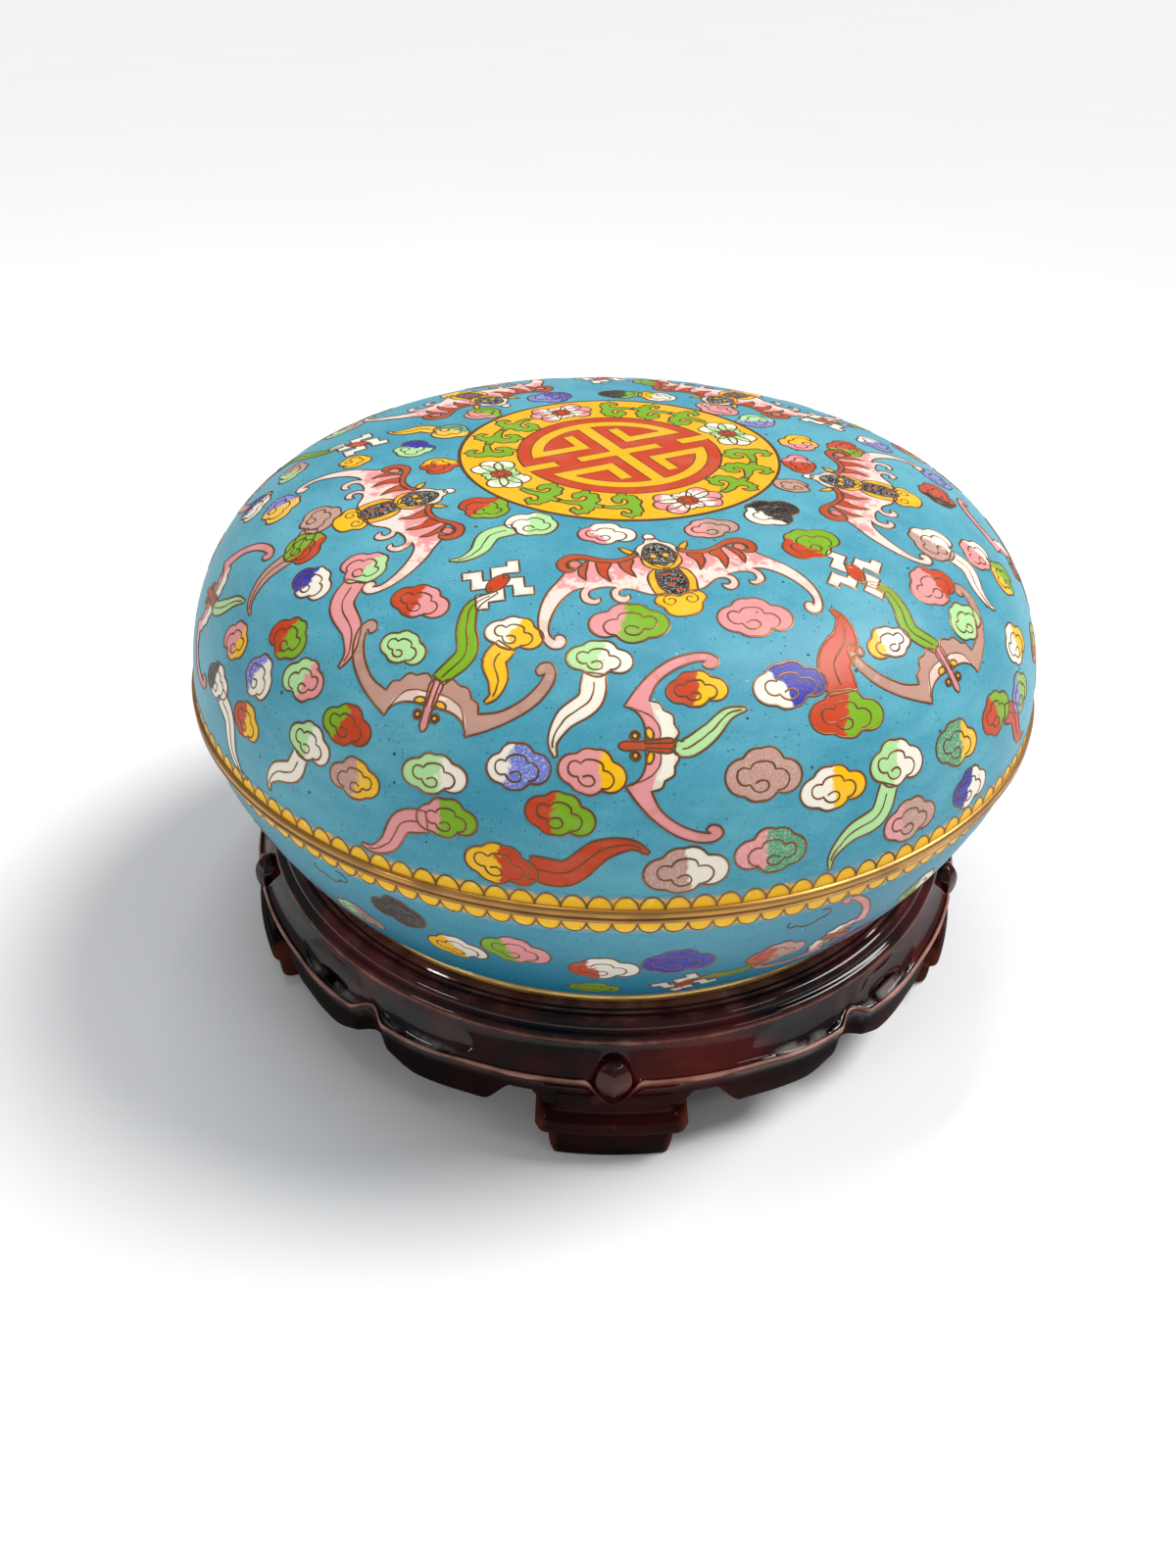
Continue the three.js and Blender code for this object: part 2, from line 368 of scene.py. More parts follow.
def turquoise():
    """Turquoise enamel: clouded in broad patches, finely grained, with dark pits and pale specks, and
    painted darker and deeper towards the foot, as shade.
    """
    f = Finish("turquoise_enamel")
    patches = f.noise(14, 3)
    streaks = f.noise(260, 3, f.stretched(0.35, 0.35, 1.0))
    grain = f.noise(1500, 2)
    tone = f.between(patches * 0.6 + streaks * 0.3 + grain * 0.22, 0.38, 0.78)
    colour = f.mix(tone, (0.055, 0.305, 0.42), (0.145, 0.468, 0.565))
    stains = f.between(f.noise(30, 4), 0.62, 0.8)
    colour = f.mix(stains * 0.35, colour, (0.10, 0.30, 0.30))
    # Painted shade: the turquoise is deepened and darkened towards the bowl's foot, where less light falls.
    painted_shade = 1 - f.between(f.height(), BOWL_FOOT, SHADED_TURQUOISE_TOP)
    colour = f.mix(painted_shade * 0.95, colour, (0.001, 0.125, 0.215))
    pits = f.specks(230, 0.16, 0.3) + f.specks(800, 0.25, 0.5) * 0.7
    pale = f.specks(330, 0.13, 0.12)
    colour = f.mix(pale * 0.55, colour, (0.6, 0.78, 0.78))
    colour = f.mix(pits * 0.85, colour, (0.02, 0.05, 0.06))
    height = 1 - pits - pale * 0.3 + grain * 0.1 + streaks * 0.1
    return f.shade(
        base_color=colour,
        roughness=0.34 + streaks * 0.16 + pits * 0.3,
        normal=f.bumped(height, 0.00012),
        specular_ior_level=0.2,
    )


turquoise_enamel = turquoise()
collar_outer = ENAMEL_RADIUS - WALL - COLLAR_PLAY
collar_inner = collar_outer - COLLAR_WALL
lid_shell = np.vstack([np.column_stack([lid_skin.r, lid_skin.z]), lid_profile(WALL)[::-1]])
lid_ground = link(tidy(mesh_from("lid_ground", *turned(lid_shell))), "lid_ground")
floor_z = BEARING_Z + FLOOR_RISE
underside = [
    (0, floor_z),
    (FOOT_RADIUS - 8, floor_z),
    (FOOT_RADIUS - 4.2, base_bottom),
    (FOOT_RADIUS - 1.2, base_bottom),
]
base_inside = base_profile(WALL, base_bottom)
base_inside[:, 0] = np.minimum(base_inside[:, 0], collar_inner)
base_inside = base_inside[base_inside[:, 1] > floor_z + WALL + 4]
inside_floor = [(FOOT_RADIUS - WALL - 6, floor_z + WALL), (0, floor_z + WALL)]
base_outside = np.column_stack([base_skin.r, base_skin.z])[::-1]
base_shell = np.vstack([underside, base_outside, base_inside, inside_floor])
base_ground = link(tidy(mesh_from("base_ground", *turned(base_shell))), "base_ground")
for ground, node in ((lid_ground, "lid"), (base_ground, "base")):
    ground.data.materials.append(turquoise_enamel)
    sharpened(ground, 40)
    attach(ground, "root")
    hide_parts(node)


# The bare metal of the box: the rims of both halves where the gilding has worn to pale brass, the
# collar inside the base on which the lid centres, and the foot ring, which keeps its gold.
LID_RIM_HEIGHT, BASE_RIM_HEIGHT = 2.4, 1.9
COLLAR_RISE, COLLAR_DROP = 5.0, 7.0


def brass(name, bright, dark, worn, roughness):
    """Gilt brass, with brown tarnish in patches and along its scratches."""
    f = Finish(name)
    patches = f.noise(60, 4)
    scratches = f.noise(500, 2, f.stretched(0.12, 0.12, 1.5))
    tarnish = f.between(patches * 0.7 + scratches * 0.35, 0.5 - worn, 0.8)
    colour = f.mix(tarnish, bright, dark)
    height = scratches + f.noise(900, 2) * 0.4
    return f.shade(
        base_color=colour,
        metallic=0.9 - tarnish * 0.5,
        roughness=roughness + tarnish * 0.25,
        normal=f.bumped(height, 0.00006),
    )


worn_brass = brass("worn_brass", (0.48, 0.25, 0.065), (0.19, 0.085, 0.024), 0.08, 0.28)
gilt_brass = brass("gilt_brass", (0.72, 0.47, 0.15), (0.38, 0.21, 0.06), 0.02, 0.26)


def hoop(name, section, material):
    """A closed section turned round the axis, as its own piece."""
    mesh = tidy(mesh_from(name, *turned([*section, section[0]])))
    made = sharpened(link(mesh, name), 50)
    made.data.materials.append(material)
    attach(made, "root")


rim_inner = ENAMEL_RADIUS - WALL + 0.4
lid_foot, base_top = SEAM_Z + GAP, SEAM_Z
hoop(
    "lid_rim",
    [
        (rim_inner, lid_foot),
        (BOX_RADIUS - 0.35, lid_foot),
        (BOX_RADIUS, lid_foot + 0.35),
        (BOX_RADIUS - 0.05, lid_foot + 1.5),
        (BOX_RADIUS - 0.45, lid_foot + LID_RIM_HEIGHT - 0.25),
        (BOX_RADIUS - 1.25, lid_foot + LID_RIM_HEIGHT),
        (rim_inner, lid_foot + LID_RIM_HEIGHT),
    ],
    worn_brass,
)
hoop(
    "base_rim",
    [
        (rim_inner, base_top),
        (rim_inner, base_top - BASE_RIM_HEIGHT),
        (BOX_RADIUS - 1.35, base_top - BASE_RIM_HEIGHT),
        (BOX_RADIUS - 0.5, base_top - BASE_RIM_HEIGHT + 0.2),
        (BOX_RADIUS - 0.1, base_top - 1.2),
        (BOX_RADIUS, base_top - 0.35),
        (BOX_RADIUS - 0.35, base_top),
    ],
    worn_brass,
)
hoop(
    "base_collar",
    [
        (collar_inner, base_top - COLLAR_DROP),
        (collar_outer, base_top - COLLAR_DROP),
        (collar_outer, base_top + COLLAR_RISE - 0.4),
        (collar_outer - 0.4, base_top + COLLAR_RISE),
        (collar_inner + 0.4, base_top + COLLAR_RISE),
        (collar_inner, base_top + COLLAR_RISE - 0.4),
    ],
    worn_brass,
)
hoop(
    "foot_ring",
    [
        (FOOT_RADIUS - 4, BEARING_Z + 0.2),
        (FOOT_RADIUS - 3.8, BEARING_Z),
        (FOOT_RADIUS - 0.5, BEARING_Z),
        (FOOT_RADIUS, BEARING_Z + 0.4),
        (FOOT_RADIUS, BEARING_Z + 2.4),
        (FOOT_RADIUS - 0.6, BEARING_Z + FOOT_RING_HEIGHT + 0.1),
        (FOOT_RADIUS - 4, BEARING_Z + FOOT_RING_HEIGHT + 0.1),
    ],
    gilt_brass,
)


# The lappets: a row of yellow enamel scallops beside each rim, in cells of thin brass wire bent to
# half circles, which are soldered on edge, filled with powdered glass and fired.
WIRE_WIDTH, CURL_WIRE, FINE_WIRE, FINEST_WIRE = 0.64, 0.6, 0.5, 0.4
WIRE_PROUD, CELL_PROUD, LEVEL_STEP = 0.17, 0.055, 0.022
ROOT_DEPTH = 0.22
WIRE_SECTION = (
    # the share of half the width at which a corner lies, and its height over the skin
    (1, -ROOT_DEPTH), (0.92, 0.1), (0.42, WIRE_PROUD), (-0.42, WIRE_PROUD), (-0.92, 0.1), (-1, -ROOT_DEPTH),
)


def glass(red, green, blue):
    """An enamel colour given as it looks, as the linear numbers a shader takes."""
    return tuple((c / 255 + 0.055) ** 2.4 / 1.055**2.4 if c > 10 else c / 3294 for c in (red, green, blue))


YELLOW = glass(255, 194, 0)
RED = glass(203, 65, 22)
PINK = glass(235, 153, 154)
CREAM = glass(248, 240, 222)
LIGHT_GREEN = glass(180, 228, 158)
LEAF_GREEN = glass(126, 178, 24)
SEA_GREEN = glass(82, 158, 112)
DEEP_BLUE = glass(36, 38, 160)
PERIWINKLE = glass(112, 124, 206)
MAUVE = glass(196, 150, 134)
BLACK = glass(26, 24, 23)
AMBER = glass(252, 184, 0)
PALE_PINK = glass(250, 222, 208)
ROSE = glass(226, 128, 116)
PALE_YELLOW = glass(250, 218, 80)
TURQUOISE = glass(86, 170, 190)


def smooth_run(points, step):
    """A run of points joined by a smooth line that passes through each of them."""
    points = np.asarray(points, float)
    if len(points) < 3:
        count = max(2, int(np.hypot(*(points[-1] - points[0])) / step) + 1)
        return points[0] + np.linspace(0, 1, count)[:, None] * (points[-1] - points[0])
    padded = np.vstack([2 * points[0] - points[1], points, 2 * points[-1] - points[-2]])
    return through(padded, step)


def through(padded, step):
    """The smooth line through all but the first and last of the points, with knots by chord length."""
    line = []
    for a, b, c, d in zip(padded, padded[1:], padded[2:], padded[3:]):
        gaps = [max(math.dist(p, q), 1e-6) ** 0.5 for p, q in ((a, b), (b, c), (c, d))]
        t0, t1, t2, t3 = 0, gaps[0], gaps[0] + gaps[1], sum(gaps)
        count = max(1, round(math.dist(b, c) / step))
        t = np.linspace(t1, t2, count, endpoint=False)[:, None]
        p = (t1 - t) / (t1 - t0) * a + (t - t0) / (t1 - t0) * b
        q = (t2 - t) / (t2 - t1) * b + (t - t1) / (t2 - t1) * c
        r = (t3 - t) / (t3 - t2) * c + (t - t2) / (t3 - t2) * d
        s = (t2 - t) / (t2 - t0) * p + (t - t0) / (t2 - t0) * q
        u = (t3 - t) / (t3 - t1) * q + (t - t1) / (t3 - t1) * r
        line.append((t2 - t) / (t2 - t1) * s + (t - t1) / (t2 - t1) * u)
    return np.vstack([*line, padded[-2]])


def drawn(points, closed=False, step=0.9):
    """A drawn line: smooth through its points, with a corner at each point that is given twice."""
    points = [tuple(p) for p in points]
    corners = [i for i in range(len(points) - 1) if points[i] == points[i + 1]]
    if closed and not corners:
        padded = np.asarray([points[-1], *points, points[0], points[1]], float)
        return through(padded, step)[:-1]
    if closed:
        first = corners[0] + 1
        points = points[first:] + points[:first]
        corners = [i for i in range(len(points) - 1) if points[i] == points[i + 1]]
    runs, start = [], 0
    for i in [*corners, len(points) - 1]:
        runs.append(smooth_run(points[start : i + 1], step))
        start = i + 1
    line = np.vstack([run[:-1] for run in runs] + [runs[-1][-1:]])
    return line[:-1] if closed and math.dist(line[0], line[-1]) < 0.05 else line


def straight(points, closed=True, step=1.5):
    """A line of straight stretches, with points along them."""
    points = np.asarray(points, float)
    ends = np.vstack([points, points[:1]]) if closed else points
    line = []
    for a, b in zip(ends, ends[1:]):
        count = max(1, round(math.dist(a, b) / step))
        line.append(a + np.linspace(0, 1, count, endpoint=False)[:, None] * (b - a))
    return np.vstack(line) if closed else np.vstack([*line, ends[-1:]])


def edge_distance(points, outline):
    """How far each point is from a closed outline, and whether it is inside."""
    a, b = outline, np.roll(outline, -1, axis=0)
    run = b - a
    length = np.maximum((run**2).sum(1), 1e-12)
    share = np.clip(((points[:, None] - a) * run).sum(2) / length, 0, 1)
    gap = points[:, None] - a - share[..., None] * run
    x, y = points[:, :1], points[:, 1:]
    crosses = (a[:, 1] > y) != (b[:, 1] > y)
    rise = np.where(np.abs(run[:, 1]) < 1e-12, 1e-12, run[:, 1])
    inside = (crosses & (x < a[:, 0] + (y - a[:, 1]) / rise * run[:, 0])).sum(1) % 2 == 1
    return np.sqrt((gap**2).sum(2)).min(1), inside


def filling(outline, spacing):
    """Staggered rows of points inside a closed outline, clear of its edge."""
    low, high = outline.min(0), outline.max(0)
    columns = np.arange(low[0], high[0], spacing)
    rows = np.arange(low[1], high[1], spacing * 0.87)
    grid = [(x + spacing / 2 * (j % 2), y) for j, y in enumerate(rows) for x in columns]
    grid = np.array(grid).reshape(-1, 2)
    if len(grid):
        distance, inside = edge_distance(grid, outline)
        grid = grid[inside & (distance > spacing * 0.45)]
    return grid


class Inlay:
    """The enamel cells of one piece and the wires between them, drawn flat and laid on a skin."""

    # What the glass's material reads at each point, and how a mesh keeps it.
    FIELDS = {"tone_a": "color", "tone_b": "color", "split": "value", "edge": "value", "grain": "value"}

    def __init__(self, skin):
        self.skin = skin
        self.glass = {key: [] for key in ("points", "faces", *self.FIELDS)}
        self.metal = {"points": [], "faces": []}
        self.draw = random.Random(11)

    def cell(self, outline, place, tone, second=None, split=(1, 0, 0), soft=0.5, level=0, grain=0, fill=2.2):
        """A cell of one colour, or of two that meet raggedly along the line split: (x, y) across it
        and its distance from the origin; soft is how many millimetres the two take to change."""
        outline = np.asarray(outline, float)
        flat = [Vector(p) for p in np.vstack([outline, filling(outline, fill)])]
        flat, _, triangles = delaunay_2d_cdt(flat, [], [list(range(len(outline)))], 1, 1e-6)[:3]
        flat = np.array([tuple(p) for p in flat])
        azimuth, along = self.skin.wrap(flat, place)
        top = self.skin.points(azimuth, along, CELL_PROUD + LEVEL_STEP * level)
        bottom = self.skin.points(azimuth, along, -ROOT_DEPTH)
        start, count = sum(len(p) for p in self.glass["points"]), len(flat)
        edges = {(t[i], t[(i + 1) % len(t)]) for t in triangles for i in range(len(t))}
        rim = [(i, j) for i, j in edges if (j, i) not in edges]
        faces = [tuple(start + i for i in t) for t in triangles]
        faces += [tuple(start + count + i for i in reversed(t)) for t in triangles]
        faces += [(start + i, start + count + i, start + count + j, start + j) for i, j in rim]
        across = np.array(split[:2]) / math.hypot(*split[:2])
        values = (flat @ across - split[2]) / soft if second else np.full(count, -9.0)
        store = self.glass
        store["points"] += [top, bottom]
        store["faces"] += faces
        store["tone_a"].append(np.tile((*tone, 1), (2 * count, 1)))
        store["tone_b"].append(np.tile((*(second or tone), 1), (2 * count, 1)))
        store["split"].append(np.tile(values, 2))
        store["edge"].append(np.tile(edge_distance(flat, outline)[0], 2))
        store["grain"].append(np.full(2 * count, float(grain)))

    def wire(self, line, place, closed=False, width=WIRE_WIDTH):
        """A wire along a line, a little uneven as if bent by hand, with a rounded top."""
        line = np.asarray(line, float)
        count = len(line)
        if closed:
            ahead = np.roll(line, -1, axis=0) - np.roll(line, 1, axis=0)
        else:
            ahead = np.gradient(line, axis=0)
        ahead /= np.maximum(np.hypot(*ahead.T), 1e-9)[:, None]
        side = np.column_stack([-ahead[:, 1], ahead[:, 0]])
        phase = [self.draw.uniform(0, 6.28) for _ in range(3)]
        t = np.arange(count)
        turns = 2 * np.pi / count
        sway = 0.07 * np.sin(turns * 2 * t + phase[0]) + 0.05 * np.sin(turns * 5 * t + phase[1])
        half = width / 2 * (1 + 0.16 * np.sin(turns * 3 * t + phase[2]))[:, None]
        line = line + side * sway[:, None]
        rows = []
        for across, lift in WIRE_SECTION:
            azimuth, along = self.skin.wrap(line + side * half * across, place)
            rows.append(self.skin.points(azimuth, along, lift))
        start = sum(len(p) for p in self.metal["points"])
        faces = skinned(count, len(rows), closed)
        self.metal["points"].append(np.array(rows).transpose(1, 0, 2).reshape(-1, 3))
        self.metal["faces"] += [tuple(start + i for i in face) for face in faces]

    def outlined(self, outline, place, tone, second=None, **more):
        """A cell with its wire round it."""
        self.cell(outline, place, tone, second, **more)
        self.wire(outline, place, closed=True)

    def shape(self, points, place, tone, **more):
        """A cell with its wire, whose outline is drawn through these points."""
        self.outlined(drawn(points, closed=True), place, tone, **more)

    def meshes(self, name):
        """The glass and the metal as two meshes."""
        made = mesh_from(name + "_enamel", np.vstack(self.glass["points"]), self.glass["faces"])
        for key, field in self.FIELDS.items():
            values = np.concatenate(self.glass[key]).astype(np.float32).ravel()
            kind = "FLOAT_COLOR" if field == "color" else "FLOAT"
            made.attributes.new(key, kind, "POINT").data.foreach_set(field, values)
        wires = mesh_from(name + "_wires", np.vstack(self.metal["points"]), self.metal["faces"])
        return made, wires


def coloured_glass():
    """Inlaid enamel: its two colours meet in a ragged edge, and it is pitted, grained and duller by the
    wires, where the glass has shrunk back. Low on the bowl it is painted darker, as shade."""
    f = Finish("coloured_enamel")
    ragged = f.noise(700, 3) * 6 - 3 + (f.noise(230, 2) * 9 - 4.5)
    share = f.between(f.attribute("split") + ragged, -1.0, 1.0)
    first, second = f.attribute("tone_a", "Color"), f.attribute("tone_b", "Color")
    colour = f.mix(share, first, second)
    clouded = f.noise(170, 3, f.stretched(0.6, 0.6, 1.6))
    colour = f.mix(f.between(clouded, 0.4, 0.8) * 0.05, colour, (0.95, 0.9, 0.8))
    grains = f.between(f.noise(1700, 2), 0.53, 0.6) * f.attribute("grain")
    colour = f.mix(grains * 0.62, colour, (0.86, 0.86, 0.82))
    # Painted shade: the colours are darkened towards the bowl's foot, where less light falls.
    shaded_colour = f.mix(1.0, colour, (0.40, 0.42, 0.48), "MULTIPLY")
    painted_shade = 1 - f.between(f.height(), BOWL_FOOT, SHADED_COLOURS_TOP)
    colour = f.mix(painted_shade * 0.7, colour, shaded_colour)
    near_wire = 1 - f.between(f.attribute("edge") + f.noise(900, 2) * 0.5 - 0.25, 0.15, 0.75)
    colour = f.mix(near_wire * 0.24, colour, (0.30, 0.15, 0.07))
    pits = f.specks(260, 0.15, 0.2)
    colour = f.mix(pits * 0.7, colour, (0.10, 0.05, 0.03))
    height = 1 - pits - near_wire * 0.5 + f.noise(1200, 2) * 0.12
    return f.shade(
        base_color=colour,
        roughness=0.33 + near_wire * 0.1 + pits * 0.3 + clouded * 0.08,
        normal=f.bumped(height, 0.0001),
        specular_ior_level=0.24,
    )


coloured_enamel = coloured_glass()
wire_brass = brass("wire_brass", (0.27, 0.125, 0.05), (0.085, 0.035, 0.018), 0.14, 0.36)


def finish_inlay(glass_mesh, wire_mesh, name):
    """Both meshes of an inlay as pieces."""
    for mesh, material, slot, ending in (
        (glass_mesh, coloured_enamel, "coloured_enamel", "_enamel"),
        (wire_mesh, wire_brass, "gilt_brass", "_wires"),
    ):
        made = sharpened(link(mesh, name + ending), 40)
        if not mesh.materials:
            mesh.materials.append(material)
        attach(made, "root")


def ring_tree(name):
    """Geometry Nodes that repeat a shape about the box's axis: a count, and the finish it gets."""
    tree = bpy.data.node_groups.new(name, "GeometryNodeTree")
    face = tree.interface
    face.new_socket("Shape", in_out="INPUT", socket_type="NodeSocketGeometry")
    count = face.new_socket("Count", in_out="INPUT", socket_type="NodeSocketInt")
    finish = face.new_socket("Finish", in_out="INPUT", socket_type="NodeSocketMaterial")
    face.new_socket("Ring", in_out="OUTPUT", socket_type="NodeSocketGeometry")

    def add(kind, links, **settings):
        """A node, with each input joined to a socket or given a value."""
        node = tree.nodes.new(kind)
        for key, value in settings.items():
            setattr(node, key, value)
        for key, value in links.items():
            if isinstance(value, bpy.types.NodeSocket):
                tree.links.new(value, node.inputs[key])
            else:
                node.inputs[key].default_value = value
        return node

    given = add("NodeGroupInput", {})
    one = add("GeometryNodeGeometryToInstance", {"Geometry": given.outputs["Shape"]})
    many = add(
        "GeometryNodeDuplicateElements",
        {"Geometry": one.outputs[0], "Amount": given.outputs["Count"]},
        domain="INSTANCE",
    )
    part = add("ShaderNodeMath", {0: math.tau, 1: given.outputs["Count"]}, operation="DIVIDE")
    index = many.outputs["Duplicate Index"]
    angle = add("ShaderNodeMath", {0: index, 1: part.outputs[0]}, operation="MULTIPLY")
    turn = add("ShaderNodeCombineXYZ", {"Z": angle.outputs[0]})
    spun = add(
        "GeometryNodeRotateInstances",
        {"Instances": many.outputs["Geometry"], "Rotation": turn.outputs[0], "Local Space": False},
    )
    real = add("GeometryNodeRealizeInstances", {"Geometry": spun.outputs[0]})
    dress = {"Geometry": real.outputs[0], "Material": given.outputs["Finish"]}
    dressed = add("GeometryNodeSetMaterial", dress)
    tree.links.new(dressed.outputs[0], add("NodeGroupOutput", {}).inputs["Ring"])
    return tree, count.identifier, finish.identifier


ring_of, COUNT_INPUT, FINISH_INPUT = ring_tree("ring_about_the_axis")


def repeated(mesh, count, material, name):
    """The mesh repeated round the axis, as one plain mesh."""
    maker = link(mesh, name)
    step = maker.modifiers.new("ring", "NODES")
    step.node_group = ring_of
    step[COUNT_INPUT] = count
    step[FINISH_INPUT] = material
    evaluated = maker.evaluated_get(bpy.context.evaluated_depsgraph_get())
    whole = bpy.data.meshes.new_from_object(evaluated)
    maker.modifiers.remove(step)
    bpy.data.objects.remove(maker)
    whole.name = name
    return whole


def lappet_row(skin, name, along, way, count, tall):
    """One scallop and its fringe, drawn at the front and then repeated all the way round; way is 1
    where the scallops rise from the line and -1 where they hang from it."""
    half = math.pi * np.interp(along, skin.s, skin.r) / count
    scallop = [(-half * math.cos(a), way * tall * math.sin(a)) for a in np.linspace(0, math.pi, 13)]
    fringe = straight([(-half, 0), (half, 0), (half, way * (tall + 0.5)), (-half, way * (tall + 0.5))])
    place = (0, along, 0)
    row = Inlay(skin)
    row.cell(fringe[::way], place, YELLOW, TURQUOISE, split=(0, way, tall * 0.72))
    row.cell(scallop[::-way], place, YELLOW, PALE_YELLOW, split=(0, way, tall * 0.95), soft=0.9, level=1)
    row.wire(scallop, place, width=WIRE_WIDTH * 0.92)
    glass_mesh, wire_mesh = row.meshes(name)
    glass_mesh = repeated(glass_mesh, count, coloured_enamel, name + "_enamel")
    wire_mesh = repeated(wire_mesh, count, wire_brass, name + "_wires")
    finish_inlay(glass_mesh, wire_mesh, name)


LID_LAPPETS, BASE_LAPPETS = 135, 137
lappet_row(lid_skin, "lid_lappet", lid_skin.end - 2.4, 1, LID_LAPPETS, 4.3)
lappet_row(base_skin, "base_lappet", 2.1, -1, BASE_LAPPETS, 4.5)


# The roundel on the crown, in wired enamel: a brick-red disc with a key fret left in yellow, in a
# yellow border with four flowers and twelve scrolls of leaves, inside one strong ring of wire.
ROUNDEL_RADIUS = 53.2
DISC_RADIUS, FRET_RING = 34.0, (25.2, 29.5)
FRET_TURN = 28.0
BRIDGE_HALF, BRIDGE_START, BRIDGE_GAP = 2.2, 23.2, 3.8
BORDER_RADIUS = 43.2
FLOWER_AZIMUTH, SHADED_ROOT = 27.5, 6.8
FIRST_SPRAY, SPRAY_PITCH, STEM_PLACE = 28.5, 18.3, 17.0
FRET_WIRE, DISC_WIRE, RING_WIRE = 0.42, 0.6, 1.25


def circle(x, y, radius, tall=None, turn=0.0):
    """A circle, or an ellipse that may lean."""
    tall = radius if tall is None else tall
    angles = np.linspace(0, math.tau, max(9, round(math.tau * radius / 0.9)), endpoint=False)
    return turned_by([(radius * math.cos(a), tall * math.sin(a)) for a in angles], turn, (x, y))


def arc(radius, start, end, step=1.3):
    """Points on a circle about the origin, between two angles in degrees from the x axis."""
    count = max(2, round(abs(math.radians(end - start)) * radius / step))
    return [(radius * math.cos(a), radius * math.sin(a)) for a in np.radians(np.linspace(start, end, count))]


def turned_by(points, turn, move=(0, 0)):
    """A drawing turned by so many degrees about the origin and then moved."""
    c, s = math.cos(math.radians(turn)), math.sin(math.radians(turn))
    return np.array([(c * x - s * y + move[0], s * x + c * y + move[1]) for x, y in points])


def flipped(points):
    """The mirror image of a drawing, left for right."""
    return [(-x, y) for x, y in points][::-1]


def both_sides(half, *middle):
    """Half of an even drawing, what lies on its axis, and the other half."""
    return [*half, *middle, *flipped(half)]


def rise_angle(height, radius):
    """The angle from the x axis, in degrees, at which a circle reaches a height."""
    return math.degrees(math.asin(height / radius))


def fret_figure():
    """The yellow figure of the fret: a cross inside two broken rings with inward hooks."""
    inner_ring, outer_ring = FRET_RING
    reach, bar, post = 15.5, 2.1, 2.5
    hook_low, hook_high, hook_near, hook_far, tip = 7.2, 11.5, 6.7, 10.9, 20.5
    quarter = straight([(reach, 0), (reach, bar), (post, bar), (post, inner_ring - 0.2)], closed=False)
    ring_in = arc(inner_ring, 90 - rise_angle(post, inner_ring), rise_angle(hook_high, inner_ring))
    hook = [(hook_far, hook_high), (hook_far, tip), (hook_near, tip), (hook_near, hook_low)]
    ring_out = arc(outer_ring, rise_angle(hook_low, outer_ring), 90)
    hook = straight([ring_in[-1], *hook, ring_out[0]], closed=False)
    right = np.vstack([quarter[:-1], ring_in[:-1], hook, ring_out[1:]])
    half = np.vstack([right, flipped(right)[1:]])
    return np.vstack([half[:-1], -half[:-1]])


def bridge(end):
    """The corners of a yellow bridge from the fret through the disc's rim, which ends at a radius."""
    top = [(end, BRIDGE_HALF), (BRIDGE_START, BRIDGE_HALF)]
    return top + [(x, -y) for x, y in reversed(top)]


LEAF = [
    (-8.4, 0.9), (-8.4, 0.9), (-6.5, 0.1), (-3.8, 0.6), (-1.2, 1.4), (-0.5, 3.0), (-0.9, 4.7), (-1.9, 4.6),
    (-2.2, 3.3), (-2.4, 2.2), (-2.4, 2.2), (-4.0, 2.0), (-5.1, 3.8), (-5.0, 6.2), (-3.6, 7.4), (-3.0, 9.0),
    (-3.0, 9.0), (-1.0, 9.1), (-0.4, 7.6), (-0.4, 7.6), (1.2, 7.9), (2.6, 6.8), (2.9, 5.2), (2.9, 5.2),
    (4.0, 3.8), (3.7, 1.8), (3.2, 0.5), (3.2, 0.5), (6.4, 0.4), (6.4, 0.4), (6.4, -2.0), (6.4, -2.0),
    (3.8, -2.2), (3.8, -2.2), (3.9, -4.0), (3.0, -5.2), (3.0, -5.2), (3.0, -6.8), (1.2, -7.2), (0.2, -8.6),
    (0.2, -8.6), (-1.5, -7.4), (-2.7, -6.6), (-2.9, -5.0), (-2.2, -3.6), (-2.2, -3.6), (-1.5, -4.7),
    (-0.4, -5.1), (0.3, -4.2), (-0.1, -2.9), (-1.5, -1.9), (-4.5, -2.1), (-8.4, -1.3), (-8.4, -1.3),
]
STEM = [
    (-3.5, 1.4), (0, 0.2), (3.4, 2.2), (3.4, 2.2), (3.4, 0.2), (3.4, 0.2), (0, -1.6), (-3.5, -0.4),
    (-3.5, -0.4),
]
PETAL = both_sides([(1.0, 1.6), (2.6, 4.4), (3.3, 7.9), (1.8, 10.7)])
SIDE_PETAL = both_sides([(0.6, 1.4), (2.6, 2.2), (3.3, 4.4), (1.8, 6.0), (0, 5.2)])


def on_border(azimuth, radius):
    """The middle of a motif in the border, in the roundel's own plane, and how far it is turned."""
    a = math.radians(azimuth)
    return (radius * math.sin(a), -radius * math.cos(a)), azimuth


def flower(inlay, azimuth, petals, shade):
    """A six-petalled flower with two small double petals, its long axis along the border; shade is
    the colour at the roots of its petals."""
    middle, turn = on_border(azimuth, BORDER_RADIUS)
    for side in (90, -90):
        for lean, longer in ((33, 0.96), (-33, 0.96), (0, 1.06)):
            petal = [(x * 1.02, y * longer) for x, y in drawn(PETAL, closed=True)]
            petal = turned_by(petal, turn + side + lean, middle)
            away = turned_by([(0, 1)], turn + side + lean)[0]
            line = (*away, float(np.dot(away, middle)) + SHADED_ROOT)
            inlay.outlined(petal, CROWN_PLACE, shade, petals, split=line, soft=1.2, level=2)
    for side in (0, 180):
        petal = turned_by(drawn(SIDE_PETAL, closed=True), turn + side, middle)
        inlay.outlined(petal, CROWN_PLACE, shade, level=3)
    inlay.outlined(circle(*middle, 3.3), CROWN_PLACE, RED, level=4)


